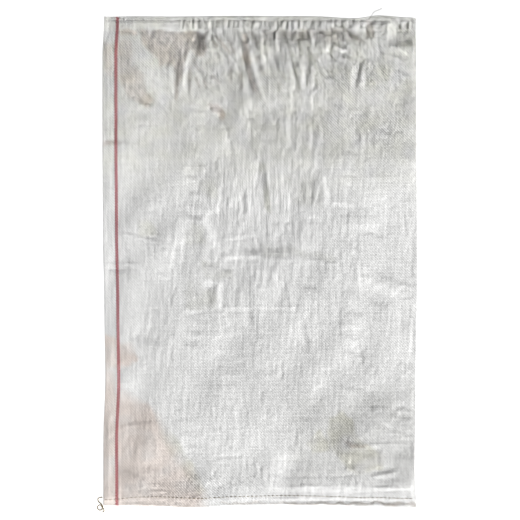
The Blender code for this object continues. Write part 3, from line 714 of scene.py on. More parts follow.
def relief(x, y):
    """How far the front panel's creases, gathers and billows stand out of its smooth shape, in metres."""
    x, y = x * 1000, y * 1000
    ground = x, y
    height = np.zeros(x.shape)
    for slope, width, line in CREASES:
        press(ground, height, slope, width, line)
    draw = np.random.default_rng(11)
    # Puckers between the stitches and the edge of the hem.
    for at in PUCKERS:
        lean = draw.uniform(-2, 3)
        steep = draw.uniform(0.12, 0.34)
        tall = draw.uniform(12, 20)
        press(ground, height, -steep, draw.uniform(1.2, 1.8), [(at - 1, 443), (at - 1 + lean, 443 - tall)])
        press(ground, height, steep, draw.uniform(1.2, 2.4), [(at + 3, 443), (at + 3 + 2 * lean, 443 - tall)])
    # Gathers that run out of the hem into the cloth, leaning to the right.
    for _ in range(120):
        at = draw.uniform(-120, 280)
        top = 424 - 95 * draw.random() ** 1.5
        long = draw.uniform(16, 58)
        lean = long * draw.uniform(0.02, 0.36)
        steep = draw.choice([-1, 1]) * draw.uniform(0.05, 0.15) * (1 - 0.006 * (424 - top))
        press(ground, height, steep, draw.uniform(1.2, 2.4), [(at, top), (at + 0.4 * lean, top - long / 2), (at + lean, top - long)])
    # Short upright ripples all over, most of them through the middle of the sack.
    for _ in range(420):
        at = draw.normal(20, 100)
        top = draw.normal(110, 120)
        long = draw.uniform(14, 70)
        lean = long * draw.normal(0.05, 0.12)
        steep = draw.choice([-1, 1]) * draw.uniform(0.02, 0.08)
        press(ground, height, steep, draw.uniform(1.2, 3.0), [(at, top), (at + lean, top - long)])
    # Lying creases left by packing.
    for _ in range(150):
        start = draw.uniform(-290, 250)
        top = draw.uniform(-420, 300)
        long = draw.uniform(20, 90)
        drop = long * draw.normal(-0.02, 0.12)
        steep = draw.choice([-1, 1]) * draw.uniform(0.01, 0.05)
        press(ground, height, steep, draw.uniform(1.4, 3.5), [(start, top), (start + long, top + drop)])
    # Billows, crumpled facets and fine ripples.
    height += 0.9 * rumple(ground, 3, 110, 260)
    height += 0.55 * rumple(ground, 5, 50, 110, 0.1, 2.0)
    height += 0.16 * np.abs(rumple(ground, 7, 26, 50, 0.0, 1.0))
    height += 0.07 * rumple(ground, 10, 8, 14, 0.0, 0.45)
    # The hem is two layers thick down to its raw edge, and the stitches sink into it.
    height += 0.5 * (1 - ease((HEM_EDGE * 1000 - y + 1.5) / 3.0))
    height -= 0.7 * np.exp(-(((y - MOUTH_STITCH_Y * 1000) / 1.7) ** 2))
    return height / 1000


def skin(name, columns, rows, points, flat_x, flat_y, paint):
    """A cloth skin: a grid whose corners are moved to points[row, column], with its own map in flat metres."""
    bm = bmesh.new()
    bmesh.ops.create_grid(bm, x_segments=columns - 1, y_segments=rows - 1, size=1)
    mesh = bpy.data.meshes.new(name)
    bm.to_mesh(mesh)
    bm.free()
    corners = np.zeros(len(mesh.vertices) * 3, np.float32)
    mesh.vertices.foreach_get("co", corners)
    corners = corners.reshape(-1, 3)
    column = np.rint((corners[:, 0] + 1) / 2 * (columns - 1)).astype(int)
    row = np.rint((corners[:, 1] + 1) / 2 * (rows - 1)).astype(int)
    mesh.vertices.foreach_set("co", points[row, column].astype(np.float32).ravel())
    used = np.zeros(len(mesh.loops), np.int32)
    mesh.loops.foreach_get("vertex_index", used)
    flat = np.stack([
        flat_x[column] / CLOTH_SPAN[0] + 0.5, flat_y[row] / CLOTH_SPAN[1] + 0.5
    ], axis=1)
    layer = mesh.uv_layers.new(name="OFBake")
    layer.uv.foreach_set("vector", flat[used].astype(np.float32).ravel())
    mesh.update()
    mesh.shade_smooth()
    mesh.materials.append(paint)
    made = link(name, mesh)
    made["grid"] = [columns, rows]
    return made, row, column


def point_attribute(piece, name, values):
    layer = piece.data.attributes.new(name, "FLOAT", "POINT")
    layer.data.foreach_set("value", values.astype(np.float32))


def woven_cloth(name, marked):
    """White tape cloth: flat tapes woven one over one, each with its own shade, gloss and lie."""
    made, wire, shader = finish(name, 0.42, 0.45)
    place = wire.node("ShaderNodeUVMap", {"uv_map": "OFBake"}, {})
    across = wire.node("ShaderNodeSeparateXYZ", {}, {0: place}, "X") * (CLOTH_SPAN[0] / TAPE)
    up = wire.node("ShaderNodeSeparateXYZ", {}, {0: place}, "Y") * (CLOTH_SPAN[1] / TAPE)
    across = across + WARP_PHASE
    warp, weft = wire.maths("FLOOR", across), wire.maths("FLOOR", up)
    in_warp, in_weft = wire.maths("FRACT", across), wire.maths("FRACT", up)
    over = wire.maths("PINGPONG", warp + weft, 1.0)
    bow_warp = 1 - wire.maths("POWER", wire.maths("ABSOLUTE", in_warp * 2 - 1), 2.0)
    bow_weft = 1 - wire.maths("POWER", wire.maths("ABSOLUTE", in_weft * 2 - 1), 2.0)
    edge_warp = 1 - wire.maths("POWER", wire.maths("ABSOLUTE", in_warp * 2 - 1), 7.0)
    edge_weft = 1 - wire.maths("POWER", wire.maths("ABSOLUTE", in_weft * 2 - 1), 7.0)
    warp_float = bow_weft * edge_warp
    weft_float = bow_warp * edge_weft
    arch = over * warp_float + (1 - over) * weft_float
    # A slanting pattern over the floats: in the colour it is painted light on the warp floats and painted shade on the
    # weft floats, and in the bump it is relief.
    slant = wire.maths("COSINE", (across + up) * math.pi)
    # Each tape's own shade, and a little more from float to float.
    warp_shade = wire.node("ShaderNodeTexWhiteNoise", {"noise_dimensions": "1D"}, {"W": warp}, "Value") - 0.5
    weft_shade = wire.node("ShaderNodeTexWhiteNoise", {"noise_dimensions": "1D"}, {"W": weft + 0.37}, "Value") - 0.5
    cell = wire.node("ShaderNodeCombineXYZ", {}, {0: warp, 1: weft})
    float_shade = wire.node("ShaderNodeTexWhiteNoise", {"noise_dimensions": "2D"}, {"Vector": cell}, "Value") - 0.5
    metres = wire.node("ShaderNodeTexCoord", {}, {}, "Object")
    streak_place = wire.node("ShaderNodeMapping", {}, {"Vector": metres, "Scale": (60, 9, 1)})
    streaks = wire.node("ShaderNodeTexNoise", {}, {"Vector": streak_place, "Scale": 1.0, "Detail": 4.0}, "Fac") - 0.5
    cross_place = wire.node("ShaderNodeMapping", {}, {"Vector": metres, "Scale": (9, 60, 1)})
    cross_streaks = wire.node("ShaderNodeTexNoise", {}, {"Vector": cross_place, "Scale": 1.0, "Detail": 4.0}, "Fac") - 0.5
    warp_run = wire.node("ShaderNodeCombineXYZ", {}, {0: warp * 0.73, 1: up * 0.08})
    warp_glint = wire.node("ShaderNodeTexNoise", {}, {"Vector": warp_run, "Scale": 1.0, "Detail": 2.0}, "Fac") - 0.5
    weft_run = wire.node("ShaderNodeCombineXYZ", {}, {0: across * 0.09, 1: weft * 0.73})
    weft_glint = wire.node("ShaderNodeTexNoise", {}, {"Vector": weft_run, "Scale": 1.0, "Detail": 2.0}, "Fac") - 0.5
    # Ribs too fine for the mesh, where the cloth is gathered.
    gathered = wire.node("ShaderNodeAttribute", {"attribute_name": "gathered"}, {}, "Fac")
    drift = wire.node("ShaderNodeAttribute", {"attribute_name": "drift"}, {}, "Fac")
    rib_run = wire.node("ShaderNodeCombineXYZ", {}, {0: drift * 110, 1: up * 0.05})
    ribs = wire.node("ShaderNodeTexNoise", {"noise_dimensions": "2D"}, {
        "Vector": rib_run, "Scale": 1.0, "Detail": 4.0, "Roughness": 0.6
    }, "Fac") - 0.5
    ribs = ribs * gathered
    grain = wire.node("ShaderNodeAttribute", {"attribute_name": "grain"}, {}, "Fac")
    threads = wire.node("ShaderNodeCombineXYZ", {}, {0: warp, 1: wire.maths("FLOOR", up * 0.4)})
    threads = wire.node("ShaderNodeTexWhiteNoise", {"noise_dimensions": "2D"}, {"Vector": threads}, "Value") - 0.5
    # In the colour, arch paints shade at each float's edges and light on its crown, and ribs paint the shade of ribs
    # too fine for the mesh.
    floats = float_shade * 0.18 + threads * 0.14 + (arch - 0.5) * 0.10 + slant * 0.13
    # Warp floats are painted a little lighter than weft floats, and the glints are painted highlights along the tapes.
    weave = over * (warp_shade * 0.06 + warp_glint * 0.17 + 0.03)
    weave = weave + (1 - over) * (weft_shade * 0.05 + weft_glint * 0.17 - 0.03)
    weave = (weave + streaks * 0.08 + cross_streaks * 0.05) * (gathered * 0.5 + 0.65)
    weave = weave + floats * grain + ribs * 0.35
    dark = wire.node("ShaderNodeAttribute", {"attribute_name": "shade"}, {}, "Fac")
    warm = wire.node("ShaderNodeAttribute", {"attribute_name": "warmth"}, {}, "Fac")
    olive = wire.node("ShaderNodeAttribute", {"attribute_name": "olive"}, {}, "Fac")
    white = (weave + CLOTH_LEVEL - dark).blend((0, 0, 0, 1), (*CLOTH_WHITE, 1))
    tinted = warm.blend((1, 1, 1, 1), (1.0, 0.900, 0.845, 1))
    olive_tint = olive.blend((1, 1, 1, 1), (0.985, 0.985, 0.90, 1))
    tint = wire.node("ShaderNodeMix", {"data_type": "RGBA", "blend_type": "MULTIPLY"}, {0: 1.0, 6: tinted, 7: olive_tint}, 2)
    colour = wire.node("ShaderNodeMix", {"data_type": "RGBA", "blend_type": "MULTIPLY"}, {0: 1.0, 6: white, 7: tint}, 2)
    if marked:
        from_marker = wire.maths("ABSOLUTE", across - (MARKER_X / TAPE + CLOTH_SPAN[0] / 2 / TAPE + WARP_PHASE))
        beside = wire.maths("LESS_THAN", from_marker, 1.15)
        colour = (beside * 0.22).blend(colour, (0.75, 0.20, 0.24, 1))
    connect(colour, shader, "Base Color")
    connect(0.47 - arch * 0.10 + warp_shade * 0.06 + streaks * 0.08, shader, "Roughness")
    fine = wire.node("ShaderNodeTexNoise", {}, {"Vector": metres, "Scale": 320.0, "Detail": 3.0, "Roughness": 0.6}, "Fac")
    dents = wire.node("ShaderNodeTexNoise", {}, {"Vector": metres, "Scale": 95.0, "Detail": 3.0}, "Fac")
    depth = (arch * 0.30 + slant * 0.10 + float_shade * 0.14 + threads * 0.12) * (grain * 0.4 + 0.4)
    depth = depth + (warp_glint * 0.32 + weft_glint * 0.30) * (gathered * 0.5 + 0.6)
    depth = depth + fine * 0.10 + dents * 0.35 + ribs * 2.6
    bump = wire.node("ShaderNodeBump", {}, {"Strength": 1.0, "Distance": 0.001, "Height": depth}, "Normal")
    connect(bump, shader, "Normal")
    return made


CLOTH_WHITE = (0.93, 0.93, 0.925)
CLOTH_LEVEL = 0.78
WARP_PHASE = -((MARKER_X / TAPE + CLOTH_SPAN[0] / 2 / TAPE) % 1.0)
marked_cloth = woven_cloth("marked_tape_cloth", True)

half_width = 0.288 - SIDE_RADIUS
turn = np.radians([90, 60, 30])
across_u = np.concatenate([[-1, -1, -1], np.linspace(-1, 1, 277), [1, 1, 1]])
across_turn = np.concatenate([-turn, np.zeros(277), turn[::-1]])
along_y = np.concatenate([
    [-HALF + BOTTOM_RADIUS] * 3,
    np.linspace(-HALF + BOTTOM_RADIUS, -0.405, 28),
    np.linspace(-0.405, 0.300, 226)[1:],
    np.linspace(0.300, HALF - LIP_RADIUS, 90)[1:],
    [HALF - LIP_RADIUS] * 3,
])
middle_rows = len(along_y) - 6
along_turn = np.concatenate([-turn, np.zeros(middle_rows), turn[::-1]])


def front_height(u, y):
    """The front panel's height with all of its creases, which die out at the side folds."""
    x, place_y = cloth_place(u, y)
    still = ease((1 - np.abs(u)) / 0.030)
    at_bottom = ease((y + HALF) / 0.016)
    rise = relief(x, place_y) * still * (0.35 + 0.65 * at_bottom)
    smooth = slack(u, y)
    return back_height(y) + np.maximum(smooth + rise, 0.0022 + 0 * smooth)


def front_points(across_u, across_turn, along_y, along_turn, height):
    x, y = cloth_place(across_u[None, :], along_y[:, None])
    end_radius = np.where(along_turn < 0, BOTTOM_RADIUS, LIP_RADIUS)[:, None]
    x = x + SIDE_RADIUS * np.sin(across_turn)[None, :]
    y = y + end_radius * np.sin(along_turn)[:, None]
    z = height - SIDE_RADIUS * (1 - np.cos(across_turn))[None, :]
    z = z - end_radius * (1 - np.cos(along_turn))[:, None]
    return np.stack([x, y, z], axis=2)


core_height = front_height(across_u[None, 3:-3], along_y[3:-3, None])
height = np.pad(core_height, 3, mode="edge")
points = front_points(across_u, across_turn, along_y, along_turn, height)
flat_x = across_u * half_width + SIDE_RADIUS * across_turn
flat_y = along_y + np.where(along_turn < 0, BOTTOM_RADIUS, LIP_RADIUS) * along_turn
front_panel, row, column = skin(
    "front_panel", len(across_u), len(along_y), points, flat_x, flat_y, marked_cloth
)
lie_x, lie_y = points[..., 0] * 1000, points[..., 1] * 1000

# Where the cloth is darker, warmer or greener than the rest: how much of each, how soft the edge is and the
# outline, in millimetres. Most outlines are painted shade and light: darker ones paint the shade of facets,
# hollows and folds that turn from the lamp, lighter ones paint light on facets that turn to it. The warm
# corner at the lower left lies smooth below a slanting fold; its darkening is painted shade. The three
# small spots by the left fold are stains.
TONES = [
    (-0.10, 0, 0, 2.5, [
        (-226, 424), (-222, 416), (-223, 407), (-212, 396), (-202, 386), (-191, 379), (-188, 364), (-186, 350),
        (-180, 331), (-177, 313), (-173, 298), (-180, 289), (-190, 309), (-204, 316), (-210, 331), (-217, 342),
        (-219, 353), (-232, 362), (-234, 390), (-235, 407)
    ]),
    (0.20, 0.62, 0, 3, [
        (-221, 423), (-184, 425), (-129, 423), (-114, 421), (-99, 416), (-98, 394), (-103, 375), (-116, 372),
        (-125, 390), (-132, 383), (-140, 361), (-145, 335), (-151, 298), (-156, 298), (-155, 328), (-158, 361),
        (-173, 361), (-184, 361), (-188, 375), (-202, 385), (-213, 397), (-221, 407)
    ]),
    (0.08, 0.5, 0, 5, [
        (-287, 403), (-265, 403), (-254, 407), (-234, 407), (-234, 361), (-221, 353), (-213, 335), (-206, 313),
        (-191, 291), (-210, 287), (-223, 294), (-239, 302), (-258, 335), (-285, 344)
    ]),
    (0.08, 0.6, 0, 3, [(-258, 427), (-228, 427), (-228, 416), (-258, 416)]),
    (-0.24, 0, 0.15, 2, [(-287, 442), (-144, 440), (-144, 427), (-287, 427)]),
    (-0.06, 0, 0, 3, [(-291, 442), (-267, 442), (-267, 407), (-291, 407)]),
    (0.12, 0.3, 0.3, 4, [(4, 425), (156, 427), (188, 412), (188, 405), (129, 405), (4, 408)]),
    (0.06, 0.8, 0, 4, [
        (-33, 416), (-22, 416), (-18, 375), (-13, 342), (-2, 313), (-11, 313), (-26, 353), (-33, 383)
    ]),
    (0.06, 0.8, 0, 3, [(-114, 412), (-101, 420), (-98, 394), (-103, 377), (-116, 377)]),
    (0.12, 0.5, 0.2, 2, [(195, 440), (204, 440), (213, 410), (195, 412)]),
    (-0.10, 0, 0, 3, [(228, 442), (250, 442), (250, 412), (239, 397), (224, 401), (232, 416)]),
    (0.07, 0, 0.4, 2, [(236, 403), (283, 407), (283, 392), (239, 394)]),
    (-0.06, 0, 0, 4, [(213, 407), (236, 396), (280, 388), (280, 342), (250, 361), (221, 386), (195, 401)]),
    (0.08, 0, 0.5, 5, [(261, 328), (283, 316), (283, 254), (265, 254)]),
    (0.06, 0, 0.4, 6, [(-261, 223), (-129, 223), (-118, 206), (-129, 190), (-261, 191)]),
    (0.10, 0, 0.45, 8, [
        (-74, 269), (283, 298), (283, 188), (129, 188), (11, 184), (-7, 188), (-26, 206), (-55, 224)
    ]),
    (0.12, 0, 0.6, 3, [(-4, 186), (9, 180), (15, 142), (18, 114), (24, 90), (15, 90), (6, 107), (4, 132), (-2, 158)]),
    (0.06, 0, 0.3, 5, [
        (42, 188), (74, 178), (96, 166), (103, 140), (114, 114), (114, 99), (83, 103), (66, 107), (52, 118),
        (48, 151)
    ]),
    (0.08, 0, 0.3, 4, [(-123, 188), (-77, 188), (-79, 114), (-101, 121), (-129, 158)]),
    (0.08, 0, 0.4, 5, [(-125, 74), (-105, 66), (-99, 33), (-136, 33), (-140, 55)]),
    (0.06, 0, 0.5, 5, [(-224, 79), (-202, 74), (-184, 48), (-221, 48)]),
    (-0.06, 0, 0, 4, [(-144, 121), (-129, 121), (-125, 107), (-105, 86), (-99, 74), (-118, 85), (-140, 103)]),
    (-0.06, 0, 0, 4, [(-103, 92), (-88, 74), (-75, 29), (-88, 35), (-101, 66)]),
    (-0.06, 0, 0, 6, [(110, 158), (129, 155), (132, 114), (180, 101), (147, 98), (125, 107)]),
    (-0.04, 0, 0, 12, [(147, 155), (276, 155), (280, 22), (156, 55)]),
    (0.05, 0, 0, 4, [(-37, 29), (4, 29), (4, 11), (-29, 11)]),
    (0.06, 0, 0.2, 5, [(4, 29), (74, 24), (138, 11), (138, 0), (74, 9), (4, 9)]),
    (0.07, 0, 0.3, 4, [(-107, 0), (-77, 0), (-75, -13), (-48, -15), (-48, -31), (-101, -31)]),
    (0.08, 0, 0.3, 4, [
        (-136, -35), (-109, -35), (-105, -52), (-85, -50), (-79, -63), (-83, -85), (-110, -90), (-136, -85)
    ]),
    (-0.05, 0, 0, 3, [(-105, -33), (-77, -33), (-77, -48), (-103, -48)]),
    (-0.06, 0, 0, 3, [(-77, -42), (-66, -42), (-66, -86), (-77, -86)]),
    (-0.06, 0, 0, 6, [(212, -40), (250, -37), (254, -70), (217, -72)]),
    (0.06, 0.9, 0, 4, [(-258, -149), (-245, -155), (-234, -166), (-226, -177), (-228, -182), (-258, -180)]),
    (0.09, 0, 0.4, 4, [(258, 224), (282, 228), (282, 188), (267, 191)]),
    (0.04, 1, 0, 5, [(-258, -258), (-206, -258), (-190, -282), (-188, -296), (-258, -305)]),
    (0.07, 1, 0, 8, [(-258, -375), (-162, -375), (-125, -401), (-110, -434), (-202, -434), (-258, -412)]),
    (-0.12, 0, 0, 3, [(-63, -412), (287, -412), (287, -431), (-63, -431)]),
    (0.12, 0, 0, 1.2, [(-279, -224), (-276, -222), (-273, -224), (-276, -227)]),
    (0.07, 0, 0, 1.2, [(-280, -236), (-278, -233), (-276, -236), (-278, -238)]),
    (0.10, 0, 0, 1, [(-282, -248), (-280, -247), (-278, -248), (-280, -250)]),
    (0.03, 1.0, 0.0, 15, [
        (-300, -190), (-276, -196), (-261, -236), (-238, -250), (-202, -272), (-184, -294), (-172, -326),
        (-148, -362), (-124, -394), (-102, -432), (-106, -470), (-300, -470)
    ]),
    (0.03, 1.0, 0.0, 5, [(-292, -130), (-262, -140), (-258, -170), (-292, -170)]),
    (0.02, 0.9, 0.0, 6, [(-292, -150), (-236, -150), (-232, -182), (-260, -196), (-292, -200)]),
    (0.13, 0.80, 0.0, 4, [(-98, 290), (-77, 288), (-61, 270), (-70, 262), (-88, 282)]),
    (0.10, 0.9, 0.0, 3, [(150, -326), (176, -334), (198, -340), (170, -342)]),
    (0.08, 0.0, 0.1, 20, [(55, -254), (287, -224), (302, -224), (302, -405), (55, -405)]),
    (0.08, 0.0, 0.1, 16, [(74, -276), (184, -261), (302, -217), (302, -355), (129, -350), (77, -328)]),
    (0.20, 0.6, 0.0, 3, [(-291, 224), (-259, 224), (-252, 219), (-259, 213), (-291, 213)]),
    (0.11, 0.1, 0.9, 5, [(129, -283), (149, -274), (166, -285), (173, -309), (191, -335), (217, -346), (230, -361), (224, -379), (206, -385), (177, -390), (155, -375), (140, -355), (127, -342), (123, -309)]),
    (0.06, 0.1, 0.9, 4, [(85, -331), (107, -309), (125, -328), (129, -350), (96, -350)]),
    (0.30, 0.6, 0.2, 1.6, [(44, -442), (147, -441), (291, -443), (291, -448), (147, -446), (44, -446)]),
    (0.12, 0.4, 0.1, 1.6, [(-70, -442), (48, -442), (48, -445), (-70, -445)]),
    (0.10, 0.0, 0.5, 5, [(-169, -305), (-155, -320), (-136, -350), (-118, -383), (-99, -420), (-114, -427), (-132, -401), (-158, -361), (-173, -339), (-184, -313)]),
]
FLANK_PAINT = 0.40  # how much painted shade and light a crease's flank gets, for its slope: near the mouth, and elsewhere
FLANK_PAINT_BELOW = 0.20


def outline_mask(x, y, soft, corners):
    """1 inside an outline and 0 outside it, with an edge that is soft by so many millimetres each way."""
    inside = np.zeros(x.shape, bool)
    nearest = np.full(x.shape, np.inf)
    for (ax, ay), (bx, by) in zip(corners, corners[1:] + corners[:1]):
        share = np.clip(((x - ax) * (bx - ax) + (y - ay) * (by - ay)) / ((bx - ax) ** 2 + (by - ay) ** 2), 0, 1)
        nearest = np.minimum(nearest, np.hypot(x - ax - share * (bx - ax), y - ay - share * (by - ay)))
        if ay != by:
            inside ^= ((ay > y) != (by > y)) & (x < ax + (y - ay) * (bx - ax) / (by - ay))
    return ease(0.5 + np.where(inside, nearest, -nearest) / (2 * soft))


mottled = rumple((lie_x, lie_y), 21, 24, 80) * 0.5 + 0.5
wander_x = lie_x + 1.5 * rumple((lie_x, lie_y), 23, 16, 60)
wander_y = lie_y + 1.5 * rumple((lie_x, lie_y), 24, 16, 60)
shade, warmth, olive = (np.zeros(lie_x.shape) for _ in range(3))
# Painted shade and light from the outlines above, with their tints.
for darker, warmer, greener, soft, corners in TONES:
    mask = outline_mask(wander_x, wander_y, soft, corners)
    shade += darker * mask
    warmth = np.maximum(warmth, warmer * mask)
    olive = np.maximum(olive, greener * mask)
# Painted shade and light along the creases: a crease's flank that turns from the lamp is painted duller, and one that
# turns to it whiter.
flank_paint = np.zeros(lie_x.shape)
for slope, width, line in CREASES:
    press((lie_x, lie_y), shade, slope, width, line, flank_paint)
flank_paint = np.clip(flank_paint, -0.5, 0.5)
shade += flank_paint * (FLANK_PAINT_BELOW + (FLANK_PAINT - FLANK_PAINT_BELOW) * ease((lie_y - 240) / 60))
# Near the hem the painted shade of the dark flanks is also tinted, warm to the left and olive to the right.
shaded_flanks_by_hem = 2.0 * np.clip(flank_paint, 0, 0.4) * ease((lie_y - 270) / 60)
warmth = np.maximum(warmth, shaded_flanks_by_hem * ease((60 - lie_x) / 120))
olive = np.maximum(olive, 0.5 * ease((lie_y - 90) / 140) + shaded_flanks_by_hem * ease((lie_x + 20) / 80))
# Faint random mottle, and painted light on the strip left of the marker tapes, which turns away from the lamp towards
# the fold.
shade += 0.012 * rumple((lie_x, lie_y), 22, 60, 160) - 0.26 * ease((-262 - lie_x) / 16)
# Painted shade in the groove that the mouth stitches sink into, together with their needle holes.
shade += 0.22 * np.exp(-(((lie_y - 442.5) / 1.1) ** 2))
# Painted light over the left of the middle, where the slack cloth turns away from the lamp.
shade -= 0.07 * ease((-90 - lie_x) / 110) * ease((300 - lie_y) / 80) * ease((lie_y + 330) / 90)
# Painted shade below the mouth hem, deepening towards the lip, where the cloth turns away from the lamp.
painted_shade_under_hem = ease((lie_x + 150) / 50)
shade += painted_shade_under_hem * (0.03 * ease((lie_y - 200) / 60) + 0.08 * ease((lie_y - 280) / 60) + 0.13 * ease((lie_y - 388) / 14) * ease((428 - lie_y) / 10))
warmth *= 0.80 + 0.25 * mottled
olive *= 0.5 + 0.6 * mottled
# Gathers and ripples too fine for the mesh: how strong they are, and how far they lean from upright.
ripple = 0.14 + 0.75 * bump_at(lie_x, lie_y, 0, 110, 130, 80) + 0.4 * ease((lie_y - 280) / 120) * ease((lie_x + 150) / 60)
ripple += 0.25 * bump_at(lie_x, lie_y, 60, -60, 180, 120)
ripple *= 1 - 0.6 * ease((warmth - 0.5) / 0.4)
lean = (0.22 + 0.6 * ease((lie_x - 40) / 120)) * ease((lie_y - 180) / 130)
drift = (lie_x + lean * (lie_y - 330)) / 1000
point_attribute(front_panel, "shade", shade[row, column])
point_attribute(front_panel, "warmth", np.clip(warmth, 0, 1.2)[row, column])
point_attribute(front_panel, "olive", np.clip(olive, 0, 1)[row, column])
grain = 0.7 + 0.7 * ease((lie_y - 200) / 80) + 1.4 * ease((lie_y - 290) / 80)
grain += 0.5 * ease((-262 - lie_x) / 6) + 0.5 * ease((-380 - lie_y) / 20)
point_attribute(front_panel, "grain", grain[row, column])
point_attribute(front_panel, "gathered", np.clip(ripple, 0, 1.5)[row, column])
point_attribute(front_panel, "drift", drift[row, column])
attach(front_panel, "root")
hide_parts("woven_tube")

# Back panel: the unmarked face of the same tube, which lies on the table and bears the front one. It is
# the same cloth, pressed flatter, and ends at the lip and at the bottom fold as the front does.
plain_cloth = woven_cloth("plain_tape_cloth", False)
back_u = np.concatenate([[-1, -1, -1], np.linspace(-1, 1, 145), [1, 1, 1]])
back_turn = np.concatenate([-turn, np.zeros(145), turn[::-1]])
back_y = np.concatenate([np.linspace(-HALF + BOTTOM_RADIUS, HALF - LIP_RADIUS, 246), [HALF - LIP_RADIUS] * 3])
back_end = np.concatenate([np.zeros(246), turn[::-1]])
x, y = cloth_place(back_u[None, 3:-3], back_y[:-3, None])
ground = x * 1000, y * 1000
dents = 0.45 + 0.22 * rumple(ground, 31, 60, 140) + 0.16 * np.abs(rumple(ground, 33, 24, 60)) + 0.06 * rumple(ground, 35, 12, 24)
dents = np.clip(dents, 0.03, 1.4) / 1000 * ease((1 - np.abs(back_u[None, 3:-3])) / 0.03)
height = back_height(y * 0 + back_y[:-3, None]) + dents
height = np.pad(height, ((0, 3), (3, 3)), mode="edge")
x, y = cloth_place(back_u[None, :], back_y[:, None])
x = x + SIDE_RADIUS * np.sin(back_turn)[None, :]
y = y + LIP_RADIUS * np.sin(back_end)[:, None]
z = height + SIDE_RADIUS * (1 - np.cos(back_turn))[None, :] + LIP_RADIUS * (1 - np.cos(back_end))[:, None]
points = np.stack([x, y, z], axis=2)
back_panel, row, column = skin(
    "back_panel", len(back_u), len(back_y), points, back_u * half_width + SIDE_RADIUS * back_turn,
    back_y + LIP_RADIUS * back_end, plain_cloth
)
back_panel.data.flip_normals()
back_x, back_lie = points[..., 0] * 1000, points[..., 1] * 1000
soiled = np.clip(0.5 + 0.5 * rumple((back_x, back_lie), 41, 60, 200), 0, 1)
point_attribute(back_panel, "shade", (0.03 + 0.04 * soiled)[row, column])
point_attribute(back_panel, "warmth", (0.35 * soiled)[row, column])
point_attribute(back_panel, "olive", (0.3 * (1 - soiled))[row, column])
point_attribute(back_panel, "grain", (0.8 + 0.4 * soiled)[row, column])
point_attribute(back_panel, "gathered", (0.3 + 0.4 * soiled)[row, column])
point_attribute(back_panel, "drift", back_x[row, column] / 1000)
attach(back_panel, "root")
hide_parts("woven_tube")

# Mouth hem: the last 25 mm of the tube, turned inwards all round and stitched down. Its raw cut edge
# lies inside the mouth, behind a ring of two layers.
HEM_GAP = 0.0010
ring_front = np.linspace(-1, 1, 240)
ring_back = np.linspace(1, -1, 130)
arc = np.radians([30, 60, 90, 120, 150])


def ring(y, inset, low=None, high=None):
    """Points round the inside of the flattened tube at one station, closed at the left fold."""
    x, place_y = cloth_place(ring_front, np.full(ring_front.shape, y))
    front = np.stack([x, place_y, front_height(ring_front[None, :], np.array([[y]]))[0] - inset], axis=1)
    x, place_y = cloth_place(ring_back, np.full(ring_back.shape, y))
    back = np.stack([x, place_y, back_height(np.full(ring_back.shape, y)) + inset], axis=1)
    radius = SIDE_RADIUS - inset
    right = [(front[-1, 0] + radius * math.sin(a), front[-1, 1], front[-1, 2] - radius * (1 - math.cos(a))) for a in arc]
    left = [(back[-1, 0] - radius * math.sin(a), back[-1, 1], back[-1, 2] + radius * (1 - math.cos(a))) for a in arc]
    return np.concatenate([front, right, back, left, front[:1]])


hem_rows = [(HALF, LIP_RADIUS)]
hem_rows += [(y, HEM_GAP) for y in np.linspace(HALF - 0.0008, HEM_EDGE, 10)]
points = np.stack([ring(y, inset) for y, inset in hem_rows])
steps = np.hypot(*np.diff(points[5, :, :2], axis=0).T)
ring_flat = np.concatenate([[0], np.cumsum(steps)])
mouth_hem, row, column = skin(
    "mouth_hem", points.shape[1], points.shape[0], points, ring_flat % 0.575 - 0.288,
    np.array([y for y, _ in hem_rows]), plain_cloth
)
bm = bmesh.new()
bm.from_mesh(mouth_hem.data)
bmesh.ops.remove_doubles(bm, verts=bm.verts, dist=1e-5)
bm.to_mesh(mouth_hem.data)
bm.free()
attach(mouth_hem, "root")
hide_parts("woven_tube")

# Bottom hem: the lowest 20 mm of the flattened tube, both of its layers turned under the back and sewn
# through all four. The raw edges show only from below.
flap_front = np.linspace(-1, 1, 145)
flap_back = np.linspace(1, -1, 145)
FLAP_RADIUS = 0.00055
rng = np.random.default_rng(51)
fray = 0.0007 * rng.random(400)


def flap_ring(y, low, high):
    """Points round the two layers of the turned-under end at one station."""
    x, place_y = cloth_place(flap_back, np.full(flap_back.shape, y))
    upper = np.stack([x, place_y, np.full(x.shape, high)], axis=1)
    x, place_y = cloth_place(flap_front, np.full(flap_front.shape, y))
    lower = np.stack([x, place_y, np.full(x.shape, low)], axis=1)
    radius = (high - low) / 2
    left = [(upper[-1, 0] - radius * math.sin(a), upper[-1, 1], high - radius * (1 - math.cos(a))) for a in arc]
    right = [(lower[-1, 0] + radius * math.sin(a), lower[-1, 1], low + radius * (1 - math.cos(a))) for a in arc]
    return np.concatenate([upper, left, lower, right, upper[:1]])


flap_rows = [(FLAP_EDGE, 0.0002, 0.0012)]
flap_rows += [(y, 0.0001, 0.0013) for y in np.linspace(FLAP_EDGE - 0.001, -HALF + BOTTOM_RADIUS, 9)]
for a in np.radians([30, 60, 90]):
    flap_rows.append((
        -HALF + BOTTOM_RADIUS - BOTTOM_RADIUS * math.sin(a), 0.0001 + BOTTOM_RADIUS * (1 - math.cos(a)),
        0.0013 + (BOTTOM_RADIUS - 0.0010) * (1 - math.cos(a))
    ))
points = np.stack([flap_ring(*flap) for flap in flap_rows])
ripple = 0.00018 * (1 + np.sin(points[..., 0] * 410) * np.sin(points[..., 0] * 97 + 1))
points[..., 2] += ripple * (points[..., 2] < 0.0008) * (points[..., 1] > -HALF + 0.003)
bottom_hem, row, column = skin(
    "bottom_hem", points.shape[1], points.shape[0], points, np.linspace(-0.288, 0.288, points.shape[1]),
    np.array([flap[0] for flap in flap_rows]), plain_cloth
)
